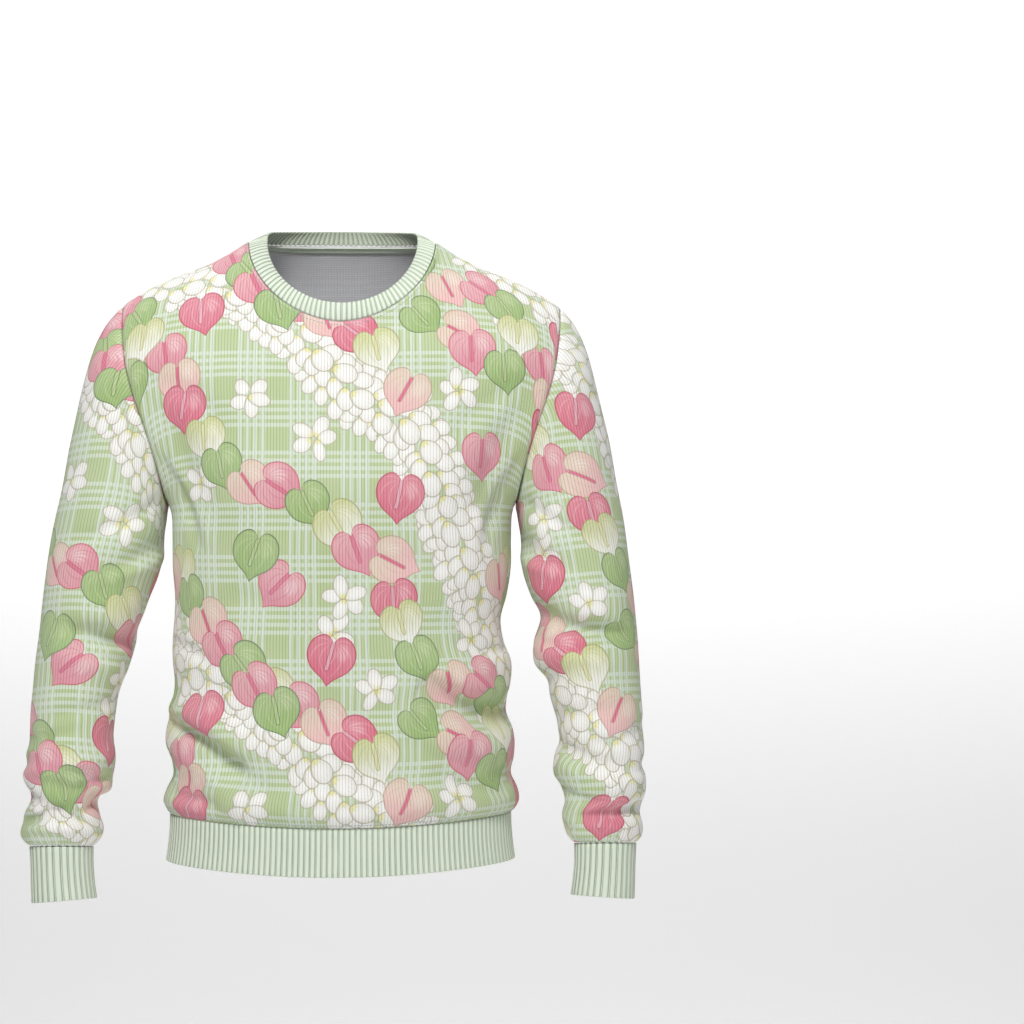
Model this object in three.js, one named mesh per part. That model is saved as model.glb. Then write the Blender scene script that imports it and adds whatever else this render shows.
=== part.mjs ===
// Crew-neck knitted sweater, held open as it is when worn, with ribbed neck, hem and cuffs.
// Millimetres, +Z up, the front facing -Y. The origin is in the middle of the neck opening, level
// with the two points where the shoulder seams meet the neck rib.
//
// The body is cut as a front and a back panel with set-in sleeves. Each panel is a sheet of points
// worked out from sections of the worn body, and every sheet is then given a cloth's thickness.
// Sheets that are sewn together share their edge points and stop half a seam gap short of them.
import * as THREE from "three";

// Cloth and rib knit
const CLOTH = 2.2; // thickness of the body and sleeve knit
const RIB_BASE = 1.9; // thickness of the rib knit at the bottom of its grooves
const RIB_RELIEF = 1.1; // how far a rib stands above its grooves
const SEAM_GAP = 0.3; // clearance between two pieces along a seam
const NECK_GAP = 0.6; // clearance of the neck rib from the middle of its seam
const HEM_RIBS = 156; // ribs round the hem band
const CUFF_RIBS = 30; // ribs round each cuff
const NECK_RIBS = 108; // ribs round the neck band

// Neck, shoulders and hem
const NECK_HALF_WIDTH = 101; // from the middle to the point where shoulder and neck rib meet
const NECK_DROP = 92; // front neck seam below the origin
const NECK_RISE = 4; // back neck seam above the origin
const NECK_ROUND = 1.85; // superellipse power of the front neck curve
const NAPE_HEIGHT = 38; // height of the neck's crown line, which the panels' curve aims at
const SHOULDER_CURVE = 3; // the shoulder seam dips this much by the neck and swells by the tip
const TIP_X = 236; // shoulder seam's outer end
const TIP_Z = -70;
const HEM_Z = -614; // seam between body and hem band, at the side seams
const HEM_DIP = 6.5; // the hem hangs this much lower in the middle of the front
const HEM_LIFT = 3; // and this much higher in the middle of the back
const HEM_REACH = 90; // height over which the body takes on the hem's own shape
const HEM_BAND = 50; // height of the hem rib
const HEM_FLARE = 4.5; // how far the hem rib opens out towards its lower edge
const CUFF_BAND = 58; // length of the cuff rib
const CUFF_TILT = 0.07; // the cuff's free edge rises this much for each millimetre inwards
const WRIST_LEAN = 0.12; // the wrist seam rises this much for each millimetre forward
const TAPE_WIDTH = 0.6; // how far down its panel row the neck tape reaches, as a share of the row
const TAPE = 1.0; // thickness of the tape over the back neck seam
const TAPE_GAP = 0.4; // clearance between the tape and the back panel's inside

// How the sheets are divided
const PANEL_COLUMNS = 28;
const NECK_FROM = 6; // columns between which a panel's top edge is the neck seam
const NECK_TO = 22;
const NECK_SHARE = (2 * NECK_TO) / PANEL_COLUMNS - 1; // the neck point from the middle to the tip
const LIFT_FROM = -340; // rows above this height start to follow the shoulders and neck
const OVAL = 2.3; // superellipse power of the body's cross-section
const HEM_OVAL = 2; // and of the hem's
const ARCH = 2.2; // superellipse power of the curve over the shoulder
const TUBE = 2.15; // superellipse power of a sleeve's cross-section
const FRONT_ROUND = 95; // height over which the front curves back to the shoulder seam
const BACK_ROUND = 110; // and the back forward to it
const LIFT_POWER = 1.5; // how late those rows turn to follow them
const FOLDS_ABOVE_HEM = 18; // height over which a panel's folds rise from its hem seam
const FOLDS_BELOW_TIP = 70; // and depth over which they rise from the shoulder
const SLEEVE_BLEND = 6; // rings over which a sleeve turns from the armhole's outline to its own
const ELBOW_RING = 8;

// Sections of the worn body. Each row gives the height, the half-widths to the wearer's right and
// left edge, how far the figure goes on beyond that edge into the sleeve, and the depths.
const BODY = [
  { z: HEM_Z, right: 184.5, left: 182.5, beyond: 0, front: 103, back: 104 },
  { z: -608, right: 188, left: 187.5, beyond: 0, front: 108, back: 109 },
  { z: -600, right: 191, left: 190.5, beyond: 0, front: 112.5, back: 113 },
  { z: -588, right: 187.5, left: 188.5, beyond: 0, front: 113.5, back: 114.5 },
  { z: -572, right: 180, left: 181.5, beyond: 0, front: 112, back: 114.5 },
  { z: -556, right: 182, left: 184.5, beyond: 0, front: 112, back: 115 },
  { z: -540, right: 188, left: 185.5, beyond: 0, front: 114, back: 116.5 },
  { z: -524, right: 188, left: 183, beyond: 0, front: 114, back: 117 },
  { z: -508, right: 184.5, left: 177, beyond: 0, front: 112.5, back: 116.5 },
  { z: -490, right: 180, left: 177, beyond: 0, front: 112.5, back: 116 },
  { z: -472, right: 179, left: 181, beyond: 0, front: 114, back: 116.5 },
  { z: -452, right: 181, left: 181.5, beyond: 0, front: 115, back: 117.5 },
  { z: -430, right: 181.5, left: 173.5, beyond: 0, front: 115.5, back: 118 },
  { z: -406, right: 179.5, left: 170.5, beyond: 0, front: 116.5, back: 119 },
  { z: -380, right: 179, left: 177, beyond: 0, front: 118, back: 120 },
  { z: -350, right: 181, left: 181.5, beyond: 0, front: 120.5, back: 121 },
  { z: -320, right: 181.5, left: 181.5, beyond: 0, front: 123, back: 121.5 },
  { z: -294, right: 182.5, left: 182.5, beyond: 0, front: 124.5, back: 121.5 },
  { z: -281, right: 187, left: 187, beyond: 0, front: 125, back: 121 },
  { z: -268, right: 189.5, left: 189.5, beyond: 5.5, front: 124.5, back: 121.5 },
  { z: -250, right: 193.5, left: 193.5, beyond: 13, front: 122.5, back: 122 },
  { z: -228, right: 199, left: 199, beyond: 22, front: 118, back: 121.5 },
  { z: -200, right: 208, left: 208, beyond: 31, front: 112, back: 119.5 },
  { z: -170, right: 218.5, left: 218.5, beyond: 36, front: 105, back: 116 },
  { z: -140, right: 227, left: 227, beyond: 36, front: 97, back: 110 },
  { z: -112, right: 232, left: 232, beyond: 32.5, front: 87, back: 103.5 },
  { z: -92, right: 234.5, left: 234.5, beyond: 28.5, front: 78, back: 97 },
  { z: -79, right: 235.5, left: 235.5, beyond: 27, front: 73.5, back: 92 },
  { z: -72, right: 236, left: 236, beyond: 26, front: 71.5, back: 89.5 },
  { z: TIP_Z, right: TIP_X, left: TIP_X, beyond: 26, front: 71, back: 89 },
  { z: -40, right: TIP_X, left: TIP_X, beyond: 26, front: 62, back: 82 },
  { z: 0, right: TIP_X, left: TIP_X, beyond: 26, front: 54, back: 74 },
  { z: 40, right: TIP_X, left: TIP_X, beyond: 26, front: 49, back: 66 },
];
const UNDERARM_Z = -281;
const WRIST_AXIS = new THREE.Vector3(0, WRIST_LEAN, 1).normalize(); // square to the wrist seams

// Rings of a sleeve from the armhole to the cuff seam: the outer and inner ends of each ring, as
// distances from the body's middle and heights, its half-depth, and how far forward it lies.
const RIGHT_SLEEVE = [
  { outX: 236, outZ: -70, inX: 187, inZ: -281, deep: 62, forward: 0 },
  { outX: 253.5, outZ: -92, inX: 188.5, inZ: -294, deep: 64, forward: 0 },
  { outX: 267.5, outZ: -120, inX: 189, inZ: -306, deep: 65.5, forward: 1 },
  { outX: 280, outZ: -165, inX: 189.5, inZ: -319, deep: 66, forward: 2 },
  { outX: 289.5, outZ: -215, inX: 191.5, inZ: -336, deep: 65.5, forward: 4 },
  { outX: 301, outZ: -275, inX: 197.5, inZ: -360, deep: 64, forward: 6 },
  { outX: 312, outZ: -330, inX: 209, inZ: -388, deep: 62, forward: 8 },
  { outX: 317.5, outZ: -380, inX: 219, inZ: -412, deep: 59, forward: 10 },
  { outX: 321.5, outZ: -420, inX: 219.5, inZ: -433.5, deep: 57, forward: 12 },
  { outX: 325, outZ: -449, inX: 227.5, inZ: -455, deep: 55.5, forward: 14 },
  { outX: 327.5, outZ: -475, inX: 235, inZ: -476, deep: 54, forward: 16 },
  { outX: 329.5, outZ: -502, inX: 240, inZ: -502, deep: 52.5, forward: 18 },
  { outX: 330, outZ: -526, inX: 243, inZ: -528, deep: 51, forward: 20 },
  { outX: 335.5, outZ: -551, inX: 240.5, inZ: -550, deep: 50.5, forward: 22 },
  { outX: 338, outZ: -567, inX: 242, inZ: -570, deep: 49, forward: 23 },
  { outX: 333, outZ: -585, inX: 244.5, inZ: -587, deep: 46.5, forward: 24.5 },
  { outX: 329.5, outZ: -599, inX: 257, inZ: -600, deep: 44, forward: 25.5 },
  { outX: 337, outZ: -613, inX: 256, inZ: -612.5, deep: 46, forward: 26.5 },
  { outX: 340.5, outZ: -626, inX: 252, inZ: -626, deep: 44.5, forward: 27 },
  { outX: 337, outZ: -637.5, inX: 254.5, inZ: -637, deep: 40, forward: 28 },
  { outX: 330, outZ: -645.5, inX: 262, inZ: -645.5, deep: 33, forward: 28.5 },
];
const LEFT_SLEEVE = [
  { outX: 236, outZ: -70, inX: 187, inZ: -281, deep: 62, forward: 0 },
  { outX: 252.5, outZ: -92, inX: 188.5, inZ: -294, deep: 64, forward: 0 },
  { outX: 265, outZ: -119, inX: 189.5, inZ: -307, deep: 65.5, forward: 1 },
  { outX: 276, outZ: -160, inX: 190.5, inZ: -321, deep: 66, forward: 2 },
  { outX: 286, outZ: -205, inX: 193, inZ: -338, deep: 65.5, forward: 4 },
  { outX: 297, outZ: -262, inX: 195, inZ: -356, deep: 64, forward: 6 },
  { outX: 306.5, outZ: -318, inX: 204, inZ: -382, deep: 62, forward: 8 },
  { outX: 312.5, outZ: -370, inX: 214, inZ: -404, deep: 60, forward: 10 },
  { outX: 317, outZ: -414.5, inX: 207, inZ: -430, deep: 58, forward: 12 },
  { outX: 319, outZ: -446, inX: 206.5, inZ: -453, deep: 56.5, forward: 14 },
  { outX: 321, outZ: -475, inX: 218, inZ: -476.5, deep: 54, forward: 16 },
  { outX: 322.5, outZ: -502, inX: 227, inZ: -502, deep: 52, forward: 18 },
  { outX: 323.5, outZ: -528, inX: 231.5, inZ: -529, deep: 50.5, forward: 20 },
  { outX: 325.5, outZ: -551, inX: 227.5, inZ: -552, deep: 49.5, forward: 22 },
  { outX: 326.5, outZ: -571, inX: 227, inZ: -571, deep: 48.5, forward: 23 },
  { outX: 326.5, outZ: -588, inX: 234, inZ: -587.5, deep: 46.5, forward: 24.5 },
  { outX: 324, outZ: -602, inX: 237.5, inZ: -600, deep: 44.5, forward: 25.5 },
  { outX: 320, outZ: -614, inX: 235, inZ: -613.5, deep: 45.5, forward: 26.5 },
  { outX: 322, outZ: -626.5, inX: 236.5, inZ: -626, deep: 44, forward: 27 },
  { outX: 321.5, outZ: -637.5, inX: 241.5, inZ: -637.5, deep: 40, forward: 28 },
  { outX: 316, outZ: -645.5, inX: 248, inZ: -645.5, deep: 33, forward: 28.5 },
];

// Sections of each cuff, down from its seam: how far it is down, how far its middle has moved
// towards the body, its half-width and half-depth.
const CUFF = [
  { down: 0, inward: 0, wide: 33.5, deep: 32.5 },
  { down: 20, inward: 0.5, wide: 33, deep: 31.5 },
  { down: 40, inward: 1.5, wide: 33.5, deep: 31 },
  { down: CUFF_BAND, inward: 3, wide: 34.5, deep: 31.5 },
];

// The largest folds of the panels: soft troughs and ridges between two places on the panel, given
// across and up, bowed by a sag, with a half-width and the height that they rise outwards.
const FRONT_FOLDS = [
  { x1: -192, z1: -515, x2: -98, z2: -572, sag: 10, width: 13, rise: -9 },
  { x1: -188, z1: -490, x2: -92, z2: -545, sag: 10, width: 17, rise: 7 },
  { x1: -182, z1: -560, x2: -100, z2: -600, sag: 6, width: 15, rise: 5 },
  { x1: 80, z1: -470, x2: 184, z2: -515, sag: -8, width: 13, rise: -8 },
  { x1: 70, z1: -445, x2: 184, z2: -478, sag: -6, width: 17, rise: 5 },
  { x1: 100, z1: -512, x2: 184, z2: -545, sag: -6, width: 16, rise: 5 },
  { x1: -215, z1: -160, x2: -150, z2: -300, sag: 14, width: 16, rise: -7 },
  { x1: 215, z1: -160, x2: 150, z2: -300, sag: -14, width: 16, rise: -7 },
  { x1: -120, z1: -590, x2: 120, z2: -590, sag: -8, width: 14, rise: 4 },
];
const BACK_FOLDS = [
  { x1: 184, z1: -395, x2: 10, z2: -480, sag: 16, width: 18, rise: -9 },
  { x1: 180, z1: -440, x2: -30, z2: -520, sag: 18, width: 17, rise: 9 },
  { x1: 182, z1: -500, x2: 0, z2: -555, sag: 14, width: 15, rise: -8 },
  { x1: -184, z1: -470, x2: -60, z2: -545, sag: -12, width: 16, rise: -7 },
  { x1: -184, z1: -430, x2: -50, z2: -500, sag: -12, width: 18, rise: 6 },
  { x1: 205, z1: -190, x2: 120, z2: -330, sag: -16, width: 18, rise: -8 },
  { x1: -205, z1: -190, x2: -120, z2: -330, sag: 16, width: 18, rise: -8 },
  { x1: -130, z1: -592, x2: 130, z2: -592, sag: -8, width: 14, rise: 5 },
];
// Folds of the sleeves, which run part of the way round: the height of the middle of the fold, how
// much it climbs for each radian, the side that it faces and its reach in degrees (0 outer, 90
// front, 180 towards the body, 270 back), its half-width and its rise.
const RIGHT_SLEEVE_FOLDS = [
  { z: -424, climb: -8, facing: 125, reach: 75, width: 13, rise: -8 },
  { z: -396, climb: -8, facing: 130, reach: 80, width: 14, rise: 4 },
  { z: -450, climb: -10, facing: 120, reach: 75, width: 14, rise: 4 },
  { z: -330, climb: 30, facing: 150, reach: 60, width: 16, rise: -6 },
  { z: -560, climb: 9, facing: 90, reach: 90, width: 10, rise: 4 },
  { z: -583, climb: -12, facing: 110, reach: 80, width: 9, rise: -6 },
  { z: -612, climb: 8, facing: 60, reach: 85, width: 9, rise: -6 },
  { z: -470, climb: 14, facing: 270, reach: 90, width: 16, rise: -7 },
  { z: -590, climb: -9, facing: 270, reach: 100, width: 11, rise: -6 },
];
const LEFT_SLEEVE_FOLDS = [
  { z: -412, climb: 9, facing: 100, reach: 75, width: 13, rise: -8 },
  { z: -384, climb: 9, facing: 105, reach: 75, width: 15, rise: 4 },
  { z: -440, climb: 8, facing: 105, reach: 75, width: 14, rise: 4 },
  { z: -330, climb: 30, facing: 150, reach: 60, width: 16, rise: -6 },
  { z: -548, climb: 9, facing: 120, reach: 85, width: 11, rise: -6 },
  { z: -583, climb: -8, facing: 90, reach: 85, width: 11, rise: 4 },
  { z: -612, climb: -6, facing: 70, reach: 85, width: 9, rise: -7 },
  { z: -480, climb: -14, facing: 270, reach: 90, width: 16, rise: -7 },
  { z: -585, climb: 9, facing: 270, reach: 100, width: 11, rise: -6 },
];

// The free edge of the neck rib: its half-width, how far it reaches to the front and back, its
// height at the sides, and how much lower its front and higher its back lie. The rib swells
// outwards between its two edges.
const NECK_EDGE = { halfWidth: 82, front: 71, back: 58, z: 8, drop: 80, rise: 11.5, bulge: 1.6 };

// Colours of the yarns, as the light falls on them
const LEAF_GREEN = 0xb4c98c;
const MINT = 0xcfdcc6;
const TAPE_GREEN = 0xaebba6;

const quarter = Math.PI / 2;
const clamp01 = (t) => Math.min(1, Math.max(0, t));
const smoothstep = (t) => clamp01(t) ** 2 * (3 - 2 * clamp01(t));
const signedPower = (t, power) => Math.sign(t) * Math.abs(t) ** power;

// A smooth curve through one column of a table whose rows rise along another column.
function curveThrough(table, along, column) {
  const at = table.map((row) => row[along]);
  const value = table.map((row) => row[column]);
  const last = at.length - 1;
  const slope = at.map((_, i) => {
    const before = Math.max(0, i - 1);
    const after = Math.min(last, i + 1);
    return (value[after] - value[before]) / (at[after] - at[before]);
  });
  return (place) => {
    const p = Math.min(at[last], Math.max(at[0], place));
    let i = 0;
    while (i < last - 1 && p > at[i + 1]) i += 1;
    const step = at[i + 1] - at[i];
    const t = (p - at[i]) / step;
    return (
      value[i] * (1 + 2 * t) * (1 - t) ** 2 +
      value[i + 1] * t * t * (3 - 2 * t) +
      slope[i] * step * t * (1 - t) ** 2 +
      slope[i + 1] * step * t * t * (t - 1)
    );
  };
}

const body = Object.fromEntries(
  ["right", "left", "beyond", "front", "back"].map((name) => [name, curveThrough(BODY, "z", name)]),
);

// Height of the shoulder seam's line at a distance from the middle, carried on over the neck.
function ridge(x) {
  const out = (Math.abs(x) - NECK_HALF_WIDTH) / (TIP_X - NECK_HALF_WIDTH);
  if (out < 0) return NAPE_HEIGHT * (1 - (x / NECK_HALF_WIDTH) ** 2);
  return TIP_Z * out - SHOULDER_CURVE * Math.sin(2 * Math.PI * out);
}

// How far a fold lifts the cloth at a place: a bell across the fold that fades at both its ends.
function foldLift(fold, x, z) {
  const run = { x: fold.x2 - fold.x1, z: fold.z2 - fold.z1 };
  const length = Math.hypot(run.x, run.z);
  const along = ((x - fold.x1) * run.x + (z - fold.z1) * run.z) / length ** 2;
  if (along <= 0 || along >= 1) return 0;
  const bow = 4 * along * (1 - along);
  const across = ((z - fold.z1) * run.x - (x - fold.x1) * run.z) / length - fold.sag * bow;
  return fold.rise * Math.sqrt(bow) * Math.exp(-((across / fold.width) ** 2));
}

// The panel's top edge from the middle, 0, to a shoulder tip, 1: the neck curve, then the shoulder.
function topEdge(share, isFront) {
  const s = Math.abs(share);
  if (s >= NECK_SHARE) {
    const out = (s - NECK_SHARE) / (1 - NECK_SHARE);
    const x = NECK_HALF_WIDTH + (TIP_X - NECK_HALF_WIDTH) * out;
    return { x: Math.sign(share) * x, z: ridge(x) };
  }
  const turn = (s / NECK_SHARE) * quarter;
  const x = NECK_HALF_WIDTH * Math.sin(turn) ** (isFront ? 2 / NECK_ROUND : 1);
  const z = isFront ? -NECK_DROP * Math.cos(turn) ** (2 / NECK_ROUND) : NECK_RISE * Math.cos(turn);
  return { x: Math.sign(share) * x, z };
}

// One point of a panel. share runs from -1 at the wearer's right edge to 1 at the left edge, and
// edgeZ is the height at which its row meets those edges.
function panelPoint(share, edgeZ, isFront) {
  const spread = Math.sin(share * quarter);
  const edgeX = (share < 0 ? body.right : body.left)(edgeZ);
  const lift = clamp01((edgeZ - LIFT_FROM) / (TIP_Z - LIFT_FROM)) ** LIFT_POWER;
  const top = topEdge(share, isFront);
  const x = spread * edgeX + lift * (top.x - spread * TIP_X);
  let z = edgeZ + lift * (top.z - TIP_Z);
  const reach = (share < 0 ? body.right : body.left)(z) + body.beyond(z);
  const widest = edgeZ <= UNDERARM_Z && lift === 0 ? edgeX : Math.max(reach, Math.abs(x));
  const low = 1 - smoothstep((edgeZ - HEM_Z) / HEM_REACH);
  const oval = OVAL + (HEM_OVAL - OVAL) * low;
  const aside = clamp01(Math.abs(x) / widest);
  const across = (1 - aside ** oval) ** (1 / oval);
  const below = clamp01((ridge(x) - z) / (isFront ? FRONT_ROUND : BACK_ROUND));
  const over = (1 - (1 - below) ** ARCH) ** (1 / ARCH);
  const y = isFront ? -body.front(z) * across * over : body.back(z) * across * over;
  z += (isFront ? -HEM_DIP : HEM_LIFT) * low * (1 - aside ** 2) ** 1.5;
  return new THREE.Vector3(x, y, z);
}

// Normals of a sheet's points, each the mean of the faces round it.
function sheetNormals(rows, around) {
  const columns = rows[0].length;
  const normals = rows.map((row) => row.map(() => new THREE.Vector3()));
  const up = new THREE.Vector3();
  const across = new THREE.Vector3();
  for (let r = 0; r + 1 < rows.length; r += 1)
    for (let c = 0; c < (around ? columns : columns - 1); c += 1) {
      const d = (c + 1) % columns;
      across.subVectors(rows[r + 1][d], rows[r][c]);
      up.subVectors(rows[r + 1][c], rows[r][d]);
      const face = across.clone().cross(up);
      for (const [i, j] of [[r, c], [r, d], [r + 1, c], [r + 1, d]]) normals[i][j].add(face);
    }
  for (const row of normals) for (const normal of row) normal.normalize();
  return normals;
}

// Pieces that meet at a seam get one shared normal there, so that their walls meet edge to edge.
// Sheets that already share theirs count once.
function shareNormals(sheets) {
  const key = (p) => [p.x, p.y, p.z].map((v) => Math.round(v * 100)).join(" ");
  const met = new Map();
  const each = (visit) => {
    for (const sheet of sheets)
      sheet.rows.forEach((row, r) => row.forEach((p, c) => visit(key(p), sheet.normals[r][c])));
  };
  each((place, normal) => {
    const known = met.get(place) ?? [];
    if (!known.some((other) => other.distanceTo(normal) < 1e-6)) known.push(normal.clone());
    met.set(place, known);
  });
  each((place, normal) => {
    normal.set(0, 0, 0);
    for (const other of met.get(place)) normal.add(other);
    normal.normalize();
  });
}

// Directions across a line of seam points, square to it and to the cloth's normal at each point.
function acrossSeam(line, normals, closed) {
  const count = line.length;
  return line.map((p, i) => {
    const before = line[closed ? (i + count - 1) % count : Math.max(0, i - 1)];
    const after = line[closed ? (i + 1) % count : Math.min(count - 1, i + 1)];
    const way = p.clone().sub(before).normalize().add(after.clone().sub(p).normalize());
    return way.cross(normals[i]).normalize();
  });
}

// How far each point of a seam moves to stand half a seam gap back from it, towards its own sheet.
function partings(line, beside, normals, closed) {
  return acrossSeam(line, normals, closed).map((way, i) => {
    const inwards = beside[i].clone().sub(line[i]);
    return way.multiplyScalar((Math.sign(way.dot(inwards)) * SEAM_GAP) / 2);
  });
}

// Gives a sheet of points its thickness. The points are the outer face, row above row, and their
// columns turn to the left seen from above the rows; around closes the last column to the first.
function wall(rows, normals, thickness, around) {
  const columns = rows[0].length;
  const count = rows.length * columns;
  const position = [];
  for (const depth of [0, thickness])
    rows.forEach((row, r) =>
      row.forEach((p, c) => position.push(...p.clone().addScaledVector(normals[r][c], -depth).toArray())),
    );
  const index = [];
  const quad = (a, b, c, d) => index.push(a, b, c, a, c, d);
  const at = (r, c) => r * columns + (c % columns);
  // The edge of the cloth from one outer point to the next. Whichever end is higher starts the
  // diagonal, so that two pieces at one seam are divided alike.
  const rim = (a, b) => {
    const higher = position[3 * a + 2] > position[3 * b + 2];
    if (higher) index.push(a, b, count + b, a, count + b, count + a);
    else index.push(a, b, count + a, b, count + b, count + a);
  };
  const last = rows.length - 1;
  const spans = around ? columns : columns - 1;
  for (let r = 0; r < last; r += 1) {
    for (let c = 0; c < spans; c += 1) {
      const corners = [at(r, c), at(r, c + 1), at(r + 1, c + 1), at(r + 1, c)];
      if (c >= spans / 2) corners.push(corners.shift());
      quad(...corners);
      const [first, second, third, fourth] = corners.map((corner) => count + corner);
      quad(first, fourth, third, second);
    }
    if (around) continue;
    rim(at(r, 0), at(r + 1, 0));
    rim(at(r + 1, spans), at(r, spans));
  }
  for (let c = 0; c < spans; c += 1) {
    rim(at(0, c + 1), at(0, c));
    rim(at(last, c), at(last, c + 1));
  }
  return geometryFrom(position, index);
}

function geometryFrom(position, index) {
  const geometry = new THREE.BufferGeometry();
  geometry.setAttribute("position", new THREE.Float32BufferAttribute(position, 3));
  geometry.setIndex(index);
  return geometry;
}

// A closed band of rib knit. place(turn, v) gives the point and normal of the ribs' tops at a share
// of the way round and up; the ribs are raised on the outside and the inside is plain.
function ribbedBand(place, ribs, levels) {
  const profile = [
    { turn: 0.14, sink: 0 },
    { turn: 0.7, sink: 0 },
    { turn: 0.92, sink: RIB_RELIEF },
  ];
  const position = [];
  const put = (turn, v, depth) => {
    const { point, normal } = place(turn, v);
    position.push(...point.clone().addScaledVector(normal, -depth).toArray());
  };
  const outer = ribs * profile.length;
  for (const v of levels) {
    for (let rib = 0; rib < ribs; rib += 1)
      for (const { turn, sink } of profile) put((rib + turn) / ribs, v, sink);
    for (let rib = 0; rib < ribs; rib += 1) put(rib / ribs, v, RIB_BASE + RIB_RELIEF);
  }
  const ring = outer + ribs;
  const out = (r, c) => r * ring + (c % outer);
  const inn = (r, c) => r * ring + outer + (c % ribs);
  const index = [];
  const quad = (a, b, c, d) => index.push(a, b, c, a, c, d);
  for (let r = 0; r + 1 < levels.length; r += 1) {
    for (let c = 0; c < outer; c += 1) quad(out(r, c), out(r, c + 1), out(r + 1, c + 1), out(r + 1, c));
    for (let c = 0; c < ribs; c += 1) quad(inn(r, c), inn(r + 1, c), inn(r + 1, c + 1), inn(r, c + 1));
  }
  const last = levels.length - 1;
  for (let rib = 0; rib < ribs; rib += 1) {
    const c = rib * profile.length;
    for (const [i, o, p] of [[rib, c, c + 1], [rib, c + 1, c + 2]]) {
      index.push(inn(0, i), out(0, p), out(0, o), inn(last, i), out(last, o), out(last, p));
    }
    index.push(inn(0, rib), inn(0, rib + 1), out(0, c + 2));
    index.push(inn(last, rib), out(last, c + 2), inn(last, rib + 1));
    index.push(inn(0, rib + 1), out(0, c + 3), out(0, c + 2));
    index.push(inn(last, rib + 1), out(last, c + 2), out(last, c + 3));
  }
  return geometryFrom(position, index);
}

// A closed loop of seam points, read by share of its length: straight between the points for the
// seam itself, or smoothed for what lies further off it.
function loopReader(points, vectors) {
  const count = points.length;
  const lengths = points.map((p, i) => p.distanceTo(points[(i + 1) % count]));
  const total = lengths.reduce((sum, length) => sum + length, 0);
  const curves = vectors.map((list) => new THREE.CatmullRomCurve3(list, true, "centripetal"));
  return (turn, straight) => {
    let left = (((turn % 1) + 1) % 1) * total;
    let i = 0;
    while (left > lengths[i] && i < count - 1) {
      left -= lengths[i];
      i += 1;
    }
    const t = left / lengths[i];
    return vectors.map((list, k) =>
      straight ? list[i].clone().lerp(list[(i + 1) % count], t) : curves[k].getPoint(((i + t) / count) % 1),
    );
  };
}

// Front and back sheets, from the hem seam up. A panel's columns run from the wearer's right edge
// on the front, and from the left edge on the back, so that both face outwards.
function panelSheet(isFront) {
  const folds = isFront ? FRONT_FOLDS : BACK_FOLDS;
  const heights = BODY.map((row) => row.z).filter((z) => z <= TIP_Z);
  const shares = Array.from({ length: PANEL_COLUMNS + 1 }, (_, c) => (2 * c) / PANEL_COLUMNS - 1);
  if (!isFront) shares.reverse();
  const plain = heights.map((edgeZ) => shares.map((share) => panelPoint(share, edgeZ, isFront)));
  const facing = sheetNormals(plain, false);
  const rows = plain.map((row, r) =>
    row.map((p, c) => {
      const toSide = 1 - Math.abs(shares[c]) ** 6;
      const toHem = smoothstep((heights[r] - HEM_Z) / FOLDS_ABOVE_HEM);
      const toSeams = toHem * smoothstep((TIP_Z - heights[r]) / FOLDS_BELOW_TIP);
      const lift = folds.reduce((sum, fold) => sum + foldLift(fold, p.x, p.z), 0);
      return p.clone().addScaledVector(facing[r][c], lift * toSide * toSeams);
    }),
  );
  return { rows, normals: sheetNormals(rows, false), heights };
}

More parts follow.
